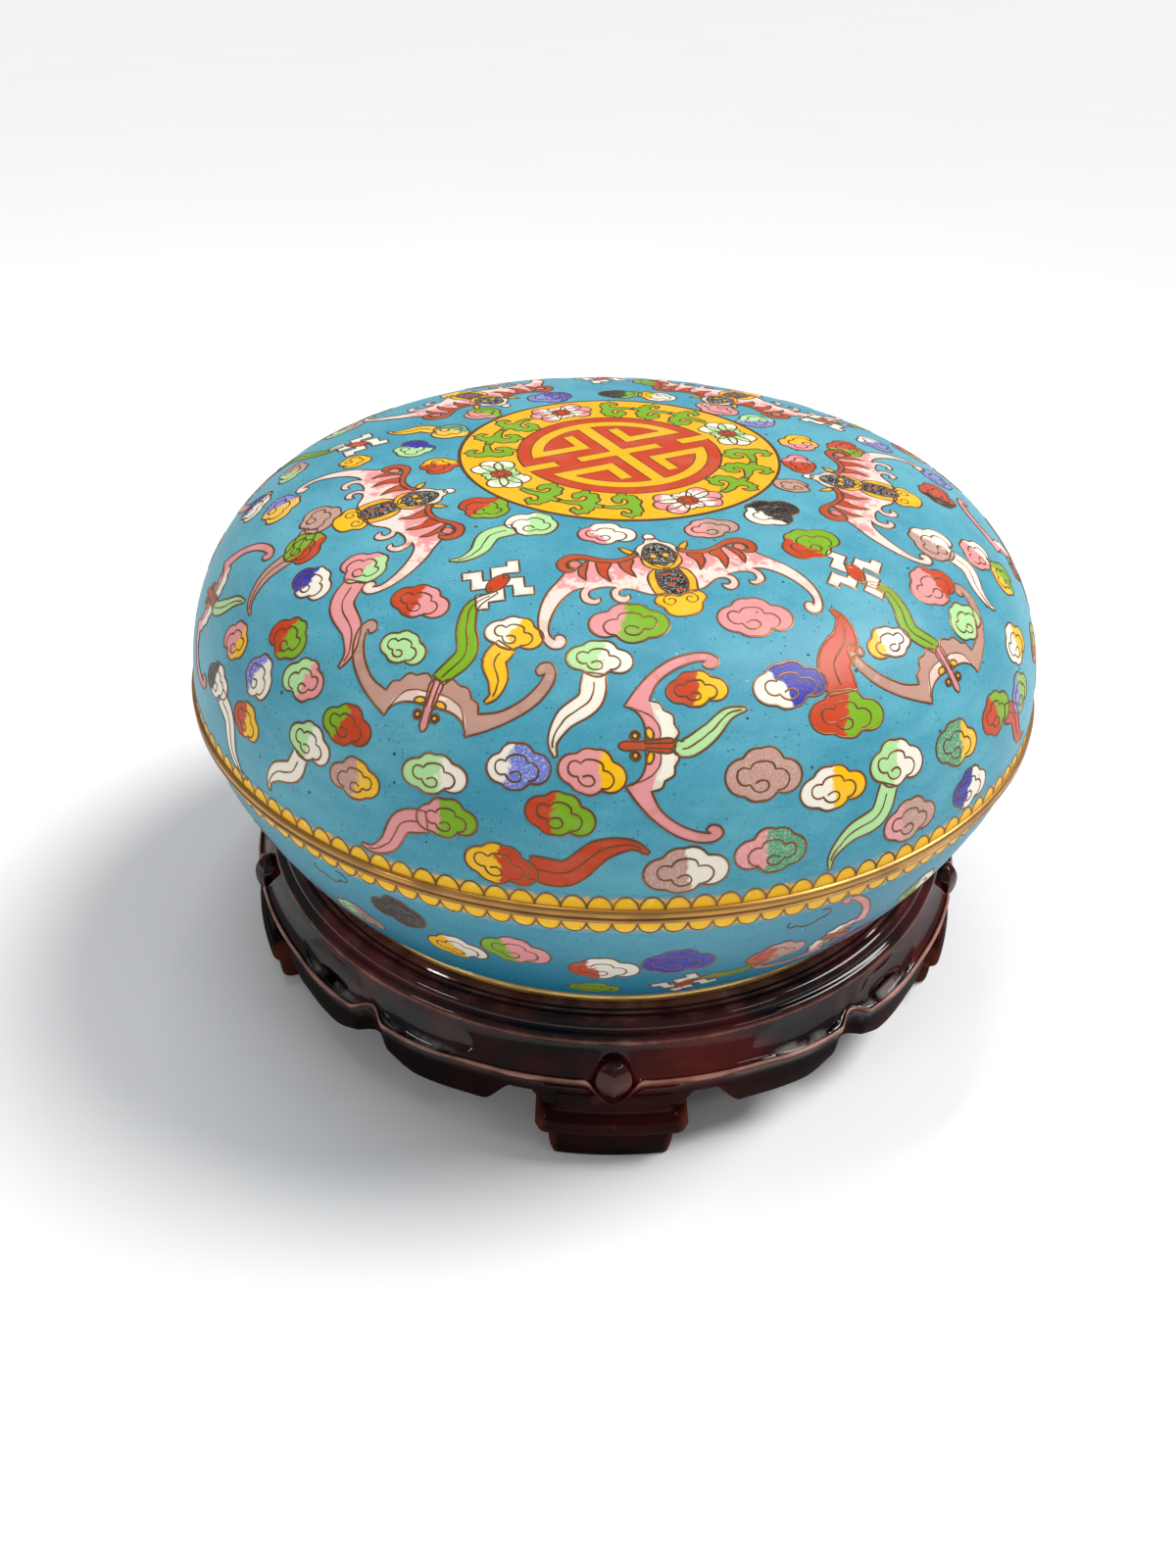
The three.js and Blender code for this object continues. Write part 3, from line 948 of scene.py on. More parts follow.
roundel = Inlay(lid_skin)
roundel.cell(arc(ROUNDEL_RADIUS, 0, 358.5), CROWN_PLACE, AMBER, fill=4.0)
roundel.wire(arc(ROUNDEL_RADIUS, 0, 358.5), CROWN_PLACE, closed=True, width=RING_WIRE)
roundel.cell(arc(DISC_RADIUS, 0, 357.5), CROWN_PLACE, RED, level=1, fill=4.0)
figure = turned_by(fret_figure(), FRET_TURN)
roundel.cell(figure, CROWN_PLACE, AMBER, level=2)
roundel.wire(figure, CROWN_PLACE, closed=True, width=FRET_WIRE)
for side in (0, 180):
    glass_part = turned_by(straight(bridge(DISC_RADIUS + 0.8)), FRET_TURN + side)
    roundel.cell(glass_part, CROWN_PLACE, AMBER, level=2)
    wire_part = turned_by(straight(bridge(DISC_RADIUS), closed=False), FRET_TURN + side)
    roundel.wire(wire_part, CROWN_PLACE, width=FRET_WIRE)
    rim = turned_by(arc(DISC_RADIUS, BRIDGE_GAP, 180 - BRIDGE_GAP), FRET_TURN + side)
    roundel.wire(rim, CROWN_PLACE, width=DISC_WIRE)
for quarter in range(4):
    here = FLOWER_AZIMUTH + 90 * quarter
    flower(roundel, here, *((PINK, CREAM), (CREAM, LIGHT_GREEN))[quarter % 2])
    for spray in range(3):
        middle, turn = on_border(here + FIRST_SPRAY + SPRAY_PITCH * spray, BORDER_RADIUS + 0.1)
        # The last spray has no stem leading on, because the next flower stands there.
        leaf = drawn(LEAF if spray < 2 else [p for p in LEAF if p[0] < 5], closed=True, step=0.7)
        roundel.outlined(turned_by(leaf, turn, middle), CROWN_PLACE, LEAF_GREEN, level=1, fill=1.8)
    middle, turn = on_border(here + STEM_PLACE, BORDER_RADIUS)
    stem = turned_by(drawn(STEM, closed=True), turn, middle)
    roundel.cell(stem, CROWN_PLACE, LEAF_GREEN, level=1)
finish_inlay(*roundel.meshes("roundel"), "roundel")


# Five great bats in wired enamel on the lid, heads to the crown: white and pink wings with red
# scrolls and fingers, a dark face and body between yellow bands, and a yellow cloud-headed tail.
WING_EDGE = [
    (3.0, -6.6), (7.0, -6.5), (9.5, -5.0), (11.7, -3.3), (14.0, -2.6), (15.5, -3.4), (15.8, -5.0),
    (14.8, -5.7), (13.2, -5.2), (13.2, -5.2), (13.3, -6.8), (15.0, -8.1), (17.0, -7.2), (18.0, -5.0),
    (17.5, -2.5), (16.0, -1.5), (16.0, -1.5), (18.2, -0.8), (21.0, -0.7), (23.3, -1.6), (23.8, -3.5),
    (22.8, -4.9), (21.2, -4.5), (21.2, -4.5), (21.1, -5.8), (22.4, -6.9), (24.4, -6.5), (26.0, -5.0),
    (26.2, -2.5), (25.5, -0.6), (24.3, 0.4), (24.3, 0.4), (27.0, 0.0), (30.0, -1.8), (33.0, -4.8),
    (35.5, -8.5), (37.0, -12.0), (37.2, -14.5), (36.4, -16.4), (36.4, -16.4), (36.0, -15.2), (34.8, -15.0),
    (33.6, -16.2), (33.6, -18.0), (35.2, -19.4), (37.4, -19.0), (38.8, -17.2), (39.6, -13.5), (39.2, -8.8),
    (37.5, -4.0), (34.5, 1.0), (30.5, 5.2), (27.6, 8.6),
]
WING_TOP = [(24.0, 12.6), (19.0, 12.0), (12.0, 10.4), (6.0, 11.6), (3.0, 8.0)]
SCROLL = [
    (6.0, 14.2), (8.5, 12.2), (11.5, 11.5), (14.5, 11.8), (17.5, 13.2), (21.0, 15.6), (24.0, 16.6),
    (27.0, 15.6), (29.0, 13.5), (29.3, 11.0), (28.5, 9.0), (26.6, 7.9), (24.4, 8.7), (24.4, 8.7),
    (26.0, 9.5), (26.8, 11.0), (26.2, 12.9), (23.7, 13.9), (20.5, 13.0), (18.5, 11.6), (15.0, 10.1),
    (11.0, 9.6), (8.0, 10.5), (5.6, 12.2), (5.6, 12.2),
]
FINGERS = (
    [(8.0, 10.2), (9.5, 6.2), (9.2, 1.6), (9.2, 1.6), (11.8, 5.5), (12.5, 9.5), (12.5, 9.5)],
    [(14.4, 9.8), (16.4, 6.2), (16.6, 1.0), (16.6, 1.0), (18.7, 5.2), (18.4, 11.3), (18.4, 11.3)],
    [(20.2, 12.6), (22.1, 7.5), (23.0, 3.2), (23.0, 3.2), (24.3, 6.6), (23.4, 10.2), (23.4, 10.2)],
)
CAP = [
    *both_sides([(-5.5, 10.8), (-5.5, 10.8), (-4.6, 12.6), (-3.8, 14.6), (-1.8, 16.8)], (0, 17.6)),
    *both_sides([(6.3, 13.8), (4.9, 16.6), (2.5, 18.2), (1.5, 20.2)]),
]
COLLAR = [
    *both_sides([(-5.5, 10.8), (-5.5, 10.8), (-5.5, 7.0), (-3.5, 4.6)], (0, 3.3)),
    *both_sides([(4.4, 8.4), (2.8, 6.7), (1.3, 6.4)], (0, 5.2)),
]
HORN = [(6.2, 13.6), (6.2, 13.6), (7.6, 12.7), (9.4, 14.4), (10.1, 17.2), (10.1, 17.2), (7.9, 15.8)]
SIDE_BAND = [
    (3.0, 4.6), (3.0, 4.6), (5.7, 2.4), (6.7, -2.0), (5.8, -7.2), (5.8, -7.2), (2.9, -7.4), (4.1, -3.5),
    (4.0, 0.4),
]
TAIL_SIDE = [
    (1.6, -7.1), (3.8, -6.7), (6.2, -7.6), (7.2, -9.8), (5.4, -12.2), (5.4, -12.2), (4.6, -14.6),
    (2.4, -15.9),
]
BAT_TAIL = [(0, -8.4), (0, -8.4), *both_sides(TAIL_SIDE, (0, -16.2)), (0, -8.4)]
SCROLL_EYE = (24.2, 11.4)
BELLY_MARKS = ((-0.9, 1.4, 12), (0.9, -0.9, -10), (-0.8, -3.4, 8), (1.0, -5.6, -12))


def curl(x, y, radius, start, sweep):
    """A small spiral of wire that winds in to x, y, from the angle start through sweep degrees."""
    steps = np.linspace(0, 1, max(8, round(abs(sweep) / 28)))
    turns = [(math.radians(start + sweep * t), radius * (1 - 0.72 * t)) for t in steps]
    return np.array([(x + r * math.cos(a), y + r * math.sin(a)) for a, r in turns])


def as_drawn(points):
    """The drawing itself, where flipped gives its mirror image."""
    return points


def great_bat(inlay, place):
    """A bat seen from its back with both wings spread: each wing's white and pink glass, its red
    fingers and scroll, and then the body, built up from the belly to the cap."""
    for hand in (as_drawn, flipped):
        edge, top = drawn(hand(WING_EDGE)), drawn(hand(WING_TOP))
        whole = np.vstack([edge, top] if hand is as_drawn else [top, edge])
        inlay.cell(whole, place, PALE_PINK, PINK, split=(0, 1, 3.0), soft=3.4)
        inlay.wire(edge, place)
        for finger in FINGERS:
            inlay.shape(hand(finger), place, RED, level=1)
        inlay.shape(hand(SCROLL), place, RED, level=2)
        inlay.outlined(circle(*hand([SCROLL_EYE])[0], 1.9), place, ROSE, level=2)
        inlay.shape(hand(HORN), place, YELLOW, level=1)
    inlay.outlined(circle(0, -2.2, 4.1, 6.2), place, BLACK, level=1, grain=0.7)
    for x, y, lean in BELLY_MARKS:
        inlay.cell(circle(x, y, 1.35, 0.55, turn=lean), place, RED, level=2, fill=1.0)
    inlay.outlined(circle(0, 11.0, 4.5, 6.6), place, BLACK, level=1, grain=0.8)
    for hand in (as_drawn, flipped):
        inlay.shape(hand(SIDE_BAND), place, YELLOW, level=2)
    inlay.shape(BAT_TAIL, place, YELLOW, level=3)
    inlay.shape(CAP, place, CREAM, level=2)
    inlay.outlined(circle(0, 21.3, 1.75), place, CREAM, level=3)
    inlay.shape(COLLAR, place, YELLOW, level=3)
    for side in (-1, 1):
        inlay.outlined(circle(1.8 * side, 10.7, 1.15), place, YELLOW, level=3, fill=1.0)
        spiral = curl(2.8 * side, -9.9, 2.4, 110 if side > 0 else 70, -430 * side)
        inlay.wire(spiral, place, width=CURL_WIRE)


GREAT_BATS = (
    # azimuth, distance from the crown, turn
    (8.0, 85.0, 6.0), (76.0, 84.0, 2.0), (146.0, 83.0, -2.0), (-139.0, 83.0, 0.0), (-60.0, 84.0, -4.0),
)
bats = Inlay(lid_skin)
for place in GREAT_BATS:
    great_bat(bats, place)
finish_inlay(*bats.meshes("great_bats"), "great_bats")


# Below and between the great bats, in the same wired enamel: five bent-armed crosses of good
# fortune, each with a green ribbon that a small mauve bat carries, and small pink bats with light
# green ribbons of their own.
CROSS_ARM = [(1.7, 1.7), (1.7, 3.9), (6.3, 3.9), (6.3, 9.7), (2.9, 9.7), (2.9, 7.3), (-1.7, 7.3)]
SMALL_WING = [
    (0.8, 4.4), (0.8, 4.4), (3.6, 6.2), (6.4, 5.0), (6.4, 5.0), (8.8, 4.9), (10.6, 2.4), (10.6, 2.4),
    (12.6, 1.7), (13.6, -1.0), (13.6, -1.0), (19.0, 1.4), (23.8, 6.4), (26.2, 11.4), (26.7, 14.6),
    (26.7, 14.6), (25.4, 13.4), (24.0, 14.6), (24.5, 16.9), (26.9, 17.9), (29.0, 16.0), (29.5, 12.0),
    (27.4, 5.6), (22.6, -0.2), (17.0, -4.6), (12.0, -7.6), (12.0, -7.6), (10.4, -4.6), (7.5, -2.8),
    (4.0, -2.2), (0.8, -2.4), (0.8, -2.4),
]
FRONT_BAND = [
    (12.0, -7.4), (12.0, -7.4), (10.4, -4.5), (7.5, -2.7), (4.0, -2.1), (0.8, -2.3), (0.8, -2.3),
    (0.8, 1.4), (0.8, 1.4), (4.8, 1.2), (8.4, -0.4), (10.8, -3.2),
]
BACK_BAND = [(x, y - 0.1) for x, y in SMALL_WING[:9]]
BACK_BAND += [(13.6, -1.0), (13.6, -1.0), (9.8, -0.2), (5.0, 1.2), (0.8, 1.2), (0.8, 1.2)]
BROW = [(-11.6, -6.0), (-8.4, -0.4), (-4.8, 1.2), (-1.2, 1.4)]
SNOUT = [
    (-1.7, 4.4), (0, 5.3), (1.7, 4.4), (1.7, 1.0), (1.0, -4.0), (1.1, -8.0), (0, -9.2), (-1.1, -8.0),
    (-1.0, -4.0), (-1.7, 1.0),
]


def band_along(line, widths):
    """The outline of a band of varying width along a line."""
    line = np.asarray(line, float)
    ahead = np.gradient(line, axis=0)
    ahead /= np.hypot(*ahead.T)[:, None]
    side = np.column_stack([-ahead[:, 1], ahead[:, 0]])
    half = np.interp(np.linspace(0, 1, len(line)), np.linspace(0, 1, len(widths)), widths)[:, None] / 2
    return np.vstack([line + side * half, (line - side * half)[::-1]])[::-1]


def ribbon(inlay, place, points, widths, tone):
    """A ribbon with a wire along its middle."""
    line = drawn(points, step=1.2)
    inlay.outlined(band_along(line, widths), place, tone)
    inlay.wire(line[2:-1], place, width=FINE_WIRE)


def small_bat(inlay, place, wing, band, snout, wing_band, narrow=1.0):
    """A small bat with hooked wings, each with a band of a second colour; narrow is how much of its
    full span it has."""
    for hand in (as_drawn, flipped):
        outline, inner = ([(x * narrow, y) for x, y in shape] for shape in (SMALL_WING, wing_band))
        inlay.shape(hand(outline), place, wing)
        inlay.cell(drawn(hand(inner), closed=True), place, band, level=1)
    brow = [(x * narrow, y) if x < -5 else (x, y) for x, y in BROW]
    for hand in (as_drawn, flipped):
        inlay.wire(drawn(hand(brow)), place, width=FINEST_WIRE)
    inlay.shape(SNOUT, place, snout, level=2)
    for side in (-1, 1):
        eye = circle(3.1 * side, -1.3, 1.6, 0.95, turn=-20 * side)
        inlay.outlined(eye, place, YELLOW, level=2, fill=1.0)
        inlay.outlined(circle(2.5 * side, -5.0, 1.3), place, BLACK, level=1, fill=1.0)
        inlay.cell(circle(2.5 * side, -5.0, 0.5), place, AMBER, level=2, fill=1.0)


def lucky_cross(inlay, place, size=1.0):
    """A cross whose four arms are bent alike, with a red seed at its middle."""
    arm = [(x * size, y * size) for x, y in CROSS_ARM]
    arms = [turned_by(arm, 90 * i) for i in range(4)]
    inlay.outlined(straight(np.vstack(arms)), place, CREAM, level=1)
    inlay.outlined(circle(0, 0, 2.4 * size, 4.2 * size, turn=-45), place, RED, level=2)


def flat_offset(skin, place, azimuth, along):
    """About where another place lies on the flat drawing round a place."""
    middle = np.interp((along + place[1]) / 2, skin.s, skin.r)
    round_to = (azimuth - place[0] + 180) % 360 - 180
    return middle * math.radians(round_to), place[1] - along


emblems = Inlay(lid_skin)
CROSSES = (
    # azimuth, distance from the crown and turn of the cross, azimuth and distance of the bat that
    # carries its ribbon, and the side to which the ribbon bends first
    (-22.4, 93.5, 28, -23.5, 133.0, -1),
    (41.5, 99.0, 28, 43.5, 135.0, 1),
    (120.0, 90.0, 20, 121.0, 133.0, -1),
    (-99.0, 91.0, 30, -99.0, 133.0, 1),
    (183.0, 90.0, 15, 184.0, 133.0, -1),
)
for azimuth, along, turn, bat_azimuth, bat_along, bend in CROSSES:
    place = (bat_azimuth, bat_along)
    x, y = flat_offset(lid_skin, place, azimuth, along)
    start, end = np.array((x - 1.2 * bend, y - 3.5)), np.array((0, 5))
    bow = np.array((3.4 * bend, 0))
    line = [start + (end - start) * t + bow * math.sin(math.tau * t) for t in (0, 0.22, 0.45, 0.7, 1)]
    ribbon(emblems, place, line, [1.0, 3.6, 4.9, 5.8, 5.6, 4.4], LEAF_GREEN)
    small_bat(emblems, place, MAUVE, PALE_PINK, PINK, FRONT_BAND)
    lucky_cross(emblems, (azimuth, along, turn))
PINK_BATS = (
    # azimuth, distance from the crown, turn, and how high the ribbon rises at its last three points
    (2.7, 138.5, -90, (3, 8, 9.5)), (-70.0, 146.0, -80, (2, 6, 8)), (80.0, 141.0, -90, (3, 8, 9)),
    (150.0, 140.0, -90, (3, 8, 9)), (-140.0, 142.0, -90, (3, 8, 9)),
)
for azimuth, along, turn, rises in PINK_BATS:
    points = [(5, 0), (7, -1), *zip((14, 19, 24), rises)]
    ribbon(emblems, (azimuth, along, 90 + turn), points, [3.0, 5.0, 5.2, 4.4, 3.2, 1.0], LIGHT_GREEN)
    small_bat(emblems, (azimuth, along, turn), PINK, CREAM, RED, BACK_BAND, narrow=0.86)
finish_inlay(*emblems.meshes("emblems"), "emblems")


# Clouds of wired enamel fill the turquoise everywhere else: lobed outlines with a curl of wire
# inside, most of them in two colours laid side by side in one cell, and some with a long
# flame-shaped tail. Lobes and curl are drawn for a cloud that reaches 1 to each side.
CLOUD_LOBES = (
    # where a lobe's middle is, and its radius
    (-0.55, -0.02, 0.45), (-0.18, 0.29, 0.38), (0.13, 0.28, 0.39), (0.57, -0.08, 0.44),
    (-0.03, -0.28, 0.39), (-0.19, -0.27, 0.39),
)
CLOUD_TALL = 0.68
CLOUD_CURL = [
    (0.32, -0.43), (0.51, -0.39), (0.62, -0.27), (0.65, -0.11), (0.56, 0.04), (0.43, 0.10), (0.30, 0.10),
    (0.30, 0.10), (0.25, 0.26), (0.10, 0.33), (-0.11, 0.34), (-0.26, 0.29), (-0.35, 0.17), (-0.35, 0.17),
    (-0.53, 0.22), (-0.66, 0.15), (-0.70, 0.00), (-0.64, -0.15), (-0.51, -0.22), (-0.38, -0.21),
    (-0.38, -0.21), (-0.32, -0.33), (-0.20, -0.42), (-0.05, -0.43), (0.08, -0.36), (0.10, -0.23),
    (0.02, -0.14), (-0.11, -0.13), (-0.24, -0.19),
]
CLOUD_WIRE = 0.58
TAIL_WIDTHS = (5.0, 5.6, 5.4, 5.2, 4.6, 3.4, 2.0, 0.7)
TAIL_SWAY = (0.3, 1.0, -0.6, -0.7, 0.1)
HANDS = (1, 1, 1, 1, -1)
COLOURS = {
    "y": YELLOW, "r": RED, "p": PINK, "w": CREAM, "l": LIGHT_GREEN, "g": LEAF_GREEN, "s": SEA_GREEN,
    "d": DEEP_BLUE, "b": PERIWINKLE, "m": MAUVE, "k": BLACK,
}
GRAINY = {"s": 0.5, "b": 0.7, "m": 0.35, "k": 0.16, "d": 0.1}


def cloud_tail(inlay, place, reach, tone, azimuth, along, broad=1.2):
    """The flame-shaped tail of the cloud at place, half of whose width and height reach gives. It
    ends at this azimuth and distance from the crown; broad multiplies its width."""
    x, y = flat_offset(inlay.skin, place, azimuth, along)
    length = math.hypot(x, y)
    out, side = np.array((x, y)) / length, np.array((-y, x)) / length
    sway = inlay.draw.choice((-1, 1)) * 0.09 * length
    begin = 0.8 / math.hypot(out[0] / reach[0], out[1] / reach[1])
    steps = [begin + (length - begin) * t for t in (0, 0.3, 0.62, 0.88, 1)]
    line = [out * step + side * sway * share for step, share in zip(steps, TAIL_SWAY)]
    line = drawn(line, step=1.2)
    inlay.outlined(band_along(line, np.array(TAIL_WIDTHS) * broad), place, COLOURS[tone], fill=1.8)
    inlay.wire(line[2:-2], place, width=FINE_WIRE)


def cloud_outline(draw, wide, scale):
    """The outside of a cloud's lobes, each a little off its usual place and size."""
    angles = np.linspace(0, math.tau, max(40, round(wide * 3.7)), endpoint=False)
    reach = np.zeros(len(angles))
    for x, y, radius in CLOUD_LOBES:
        x += draw.uniform(-0.03, 0.03)
        y += draw.uniform(-0.02, 0.02)
        radius *= draw.uniform(0.95, 1.05)
        middle = x * np.cos(angles) + y * np.sin(angles)
        inside = middle**2 - x * x - y * y + radius * radius
        far_side = middle + np.sqrt(np.maximum(inside, 0))
        reach = np.maximum(reach, np.where(inside > 0, far_side, 0))
    reach = reach / 2 + np.roll(reach, 1) / 4 + np.roll(reach, -1) / 4
    outline = np.column_stack([np.cos(angles), np.sin(angles)]) * reach[:, None] * scale
    return outline[::-1] if scale[0] < 0 else outline


def cloud(inlay, azimuth, along, wide, tall, colours, tail=None):
    """A cloud in its one or two colours; tail is the colour, the end and the breadth of its tail."""
    draw = inlay.draw
    place = (azimuth, along, draw.uniform(-9, 9))
    scale = np.array((wide / 2 * draw.choice(HANDS), tall / 2 / CLOUD_TALL))
    if tail:
        cloud_tail(inlay, (azimuth, along), (wide / 2, tall / 2), *tail)
    outline = cloud_outline(draw, wide, scale)
    first = COLOURS[colours[0]]
    second = COLOURS[colours[1]] if len(colours) > 1 else None
    across = (1, draw.uniform(-0.35, 0.35), draw.uniform(-0.15, 0.12) * wide)
    grain = max(GRAINY.get(c, 0.0) for c in colours)
    inlay.outlined(outline, place, first, second, split=across, soft=0.6, level=1, grain=grain)
    inlay.wire(drawn(np.array(CLOUD_CURL) * scale, step=0.74), place, width=CLOUD_WIRE)


LID_CLOUDS = (
    # azimuth and distance from the crown, width and height, colours; of a tail, its colour, where it
    # ends and its breadth
    (-43, 61, 16, 15, "rg"), (-26, 62, 16, 15, "wl", ("l", -35, 89)), (-5, 62, 17, 13, "pw"),
    (24, 62, 17, 12, "pm"), (45, 63, 19, 16, "wk"), (66, 59, 10, 13, "m"), (41, 82, 20, 15, "rg"),
    (0, 103, 21, 14, "pg"), (19, 104, 21, 14, "p"), (-32, 107, 18, 12, "rp"), (-30, 122, 14, 10, "l"),
    (-16, 110, 16, 11, "wy", ("y", -17, 131)), (-4, 115, 17, 11, "lw", ("w", -8.5, 142)),
    (8, 124, 16, 10, "ry"), (20, 126, 21, 13, "wd"), (26, 137, 22, 13, "rg", ("r", 31, 107, 1.8)),
    (36.5, 122.5, 16, 10, "yw"), (52, 115, 20, 14, "pr"), (52, 129, 15, 12, "l"),
    (63, 107, 17, 16, "mw", ("w", 60, 134)), (-12, 146, 17, 12, "wb"), (-4, 145.5, 18, 12, "py"),
    (-7, 157, 18, 12, "rg"), (-21, 152, 18, 11, "lw"), (-19, 163, 17, 11, "pg", ("p", -29, 178)),
    (-30.5, 160, 17, 11, "my"), (-37.5, 156, 16, 11, "lw", ("w", -43.5, 177)), (-33, 147, 17, 11, "gr"),
    (-41.5, 141, 16, 12, "lp"), (-49, 148, 14, 13, "bw"), (-47.5, 133.5, 16, 13, "rg"),
    (-57, 145, 15, 12, "py"), (-51, 117, 16, 12, "dw"), (-46, 104, 15, 14, "pl", ("p", -36, 132, 1.4)),
    (-60, 111, 15, 14, "gr"), (-77, 113, 16, 14, "by"), (-66, 102, 15, 14, "m", ("m", -56, 135)),
    (-84, 124, 16, 13, "dw"), (-13, 173, 20, 12, "yr", ("r", 2, 165, 1.4)), (6, 172, 22, 14, "mw"),
    (15, 169, 20, 13, "ps"), (22.5, 155, 20, 12, "wy"), (14.5, 148, 21, 14, "m"),
    (31, 154, 19, 13, "lw", ("l", 21.5, 178)), (32.5, 172, 20, 13, "pm"), (43, 173, 18, 13, "dw"),
    (41, 157, 19, 13, "sy"), (50, 157, 18, 13, "rg", ("r", 59, 175)), (61, 147, 18, 13, "wy"),
    (58, 160, 15, 13, "bg"), (-78, 60, 13, 13, "yr"), (-93, 69, 15, 14, "dl"),
    (-108, 61, 14, 14, "sy", ("y", -106, 84)), (-88, 88, 11, 11, "y"), (-128, 61, 14, 14, "gp"),
    (-157, 62, 17, 14, "db"), (178, 62, 17, 11, "gk"), (165, 62, 15, 12, "wy"), (170, 86, 14, 14, "rg"),
    (125, 61, 14, 15, "bl"), (103, 64, 15, 14, "py"), (100, 80, 15, 13, "gr"), (106, 96, 15, 13, "bw"),
    (84, 107, 17, 14, "kr"), (94, 112, 14, 13, "b"), (69, 121, 16, 13, "pw"), (70, 133, 15, 13, "yg"),
    (-58, 160, 17, 11, "kw", ("w", -48, 180)), (-49, 162, 15, 11, "ry"),
)
lid_clouds = Inlay(lid_skin)
for entry in LID_CLOUDS:
    cloud(lid_clouds, *entry)


PAIRS = (
    "rg", "pw", "wy", "lw", "pg", "dw", "yr", "p", "gy", "bw", "sy", "ml", "pl", "kw", "rp", "l", "w", "my",
)
KEPT_CLEAR = 6.5
# Spots that the other drawings take up: steps round and down from a drawing's place, and a reach.
GREAT_BAT_SPOTS = ((0, 0, 17), (-14, -4, 12), (14, -4, 12), (-22, 10, 10), (22, 10, 10))
RIBBON_BAT_SPOTS = ((0, 0, 13), (-8, -2, 12), (8, -2, 12))
PINK_BAT_SPOTS = ((0, 0, 11), (2, -17, 10), (2, 17, 10), (9, -5, 10))
CROSS_SPOTS, RIBBON_SPOTS = ((0, 0, 10),), ((0, 0, 6),)
chance = random.Random(5)


def spots_at(azimuth, along, spots):
    """Where the spots of a drawing at this place lie, with the clearance that a cloud leaves them."""
    return [(azimuth + step, along + down, reach + KEPT_CLEAR) for step, down, reach in spots]


def within(skin, spot, azimuth, along):
    """Whether a place is nearer to a spot than its reach."""
    return math.hypot(*flat_offset(skin, spot[:2], azimuth, along)) < spot[2]


def crowded(skin, clouds, azimuth, along, spare):
    """Whether a new cloud here would touch one that is already drawn."""
    for entry in clouds:
        x, y = flat_offset(skin, entry[:2], azimuth, along)
        if (x / (entry[2] + spare)) ** 2 + (y / (entry[3] + spare)) ** 2 < 1:
            return True
    return False


def scatter_clouds(inlay, clouds, taken, tries, azimuths, rows, spare, widest, tall):
    """Clouds wherever chance finds room for one, in rows round the sides where few are listed: clear of
    the clouds there by so much to spare, and of the taken spots."""
    for _ in range(tries):
        azimuth = chance.uniform(*azimuths)
        along = chance.choice(rows) + chance.uniform(-3, 3)
        azimuth = (azimuth + 180) % 360 - 180
        if any(within(inlay.skin, spot, azimuth, along) for spot in taken):
            continue
        if crowded(inlay.skin, clouds, azimuth, along, spare):
            continue
        wide = chance.uniform(15, widest)
        entry = (azimuth, along, wide, wide * tall, chance.choice(PAIRS))
        clouds.append(entry)
        cloud(inlay, *entry)


taken = []
for azimuth, along, _ in GREAT_BATS:
    taken += spots_at(azimuth, along, GREAT_BAT_SPOTS)
for azimuth, along, _, bat_azimuth, bat_along, _ in CROSSES:
    taken += spots_at(azimuth, along, CROSS_SPOTS)
    taken += spots_at((azimuth + bat_azimuth) / 2, (along + bat_along) / 2, RIBBON_SPOTS)
    taken += spots_at(bat_azimuth, bat_along, RIBBON_BAT_SPOTS)
for azimuth, along, _, _ in PINK_BATS:
    taken += spots_at(azimuth, along, PINK_BAT_SPOTS)
LID_ROWS, BOWL_ROWS = (62, 100, 112, 124, 136, 148, 160, 172), (18, 31, 44)
placed = list(LID_CLOUDS)
scatter_clouds(lid_clouds, placed, taken, 2600, (67, 277), LID_ROWS, spare=2.0, widest=20, tall=0.7)
finish_inlay(*lid_clouds.meshes("lid_clouds"), "lid_clouds")


# The bowl's wired enamel is like the lid's, with less on it: clouds, crosses with ribbons, small bats,
# and here and there a curl of wire laid straight on the turquoise.
BOWL_CLOUDS = (
    # azimuth and distance down from the seam, width and height, colours
    (-44, 43, 18, 15, "db"), (-26, 17, 18, 15, "k"), (-34.5, 34, 18, 15, "lm"), (-19.5, 29, 19, 15, "yw"),
    (-12, 22, 20, 16, "gp"), (-2, 29, 20, 16, "rw"), (6.5, 25, 21, 16, "d"), (19, 30, 19, 15, "rm"),
    (40, 24, 17, 15, "gw"), (33, 42, 17, 15, "d"), (-60, 22, 17, 15, "pw"), (-3, 48, 16, 12, "g"),
    (-52, 27, 17, 15, "b"), (52, 40, 18, 15, "yr"), (56, 18, 17, 15, "pl"),
)
bowl_inlay = Inlay(base_skin)
for entry in BOWL_CLOUDS:
    cloud(bowl_inlay, *entry)
BOWL_CROSS_TURN, BOWL_BAT_TURN = 25, 60
BOWL_CROSSES = ((8.5, 45.5), (88, 40), (168, 40), (-112, 40))
BOWL_RIBBON = [(2.5, 3), (8, 5.5), (14, 4.5), (19, 7), (24, 11)]
for place in BOWL_CROSSES:
    ribbon(bowl_inlay, place, BOWL_RIBBON, [1.5, 4, 4.6, 4, 1], LEAF_GREEN)
    lucky_cross(bowl_inlay, (*place, BOWL_CROSS_TURN), 0.95)
BOWL_BATS = ((27, 31), (120, 28), (-150, 28), (-78, 28))
for place in BOWL_BATS:
    small_bat(bowl_inlay, (*place, BOWL_BAT_TURN), PINK, CREAM, RED, BACK_BAND, narrow=0.7)
LOOSE_CURL = np.array(CLOUD_CURL[:18]) * (10.0, -8.5)
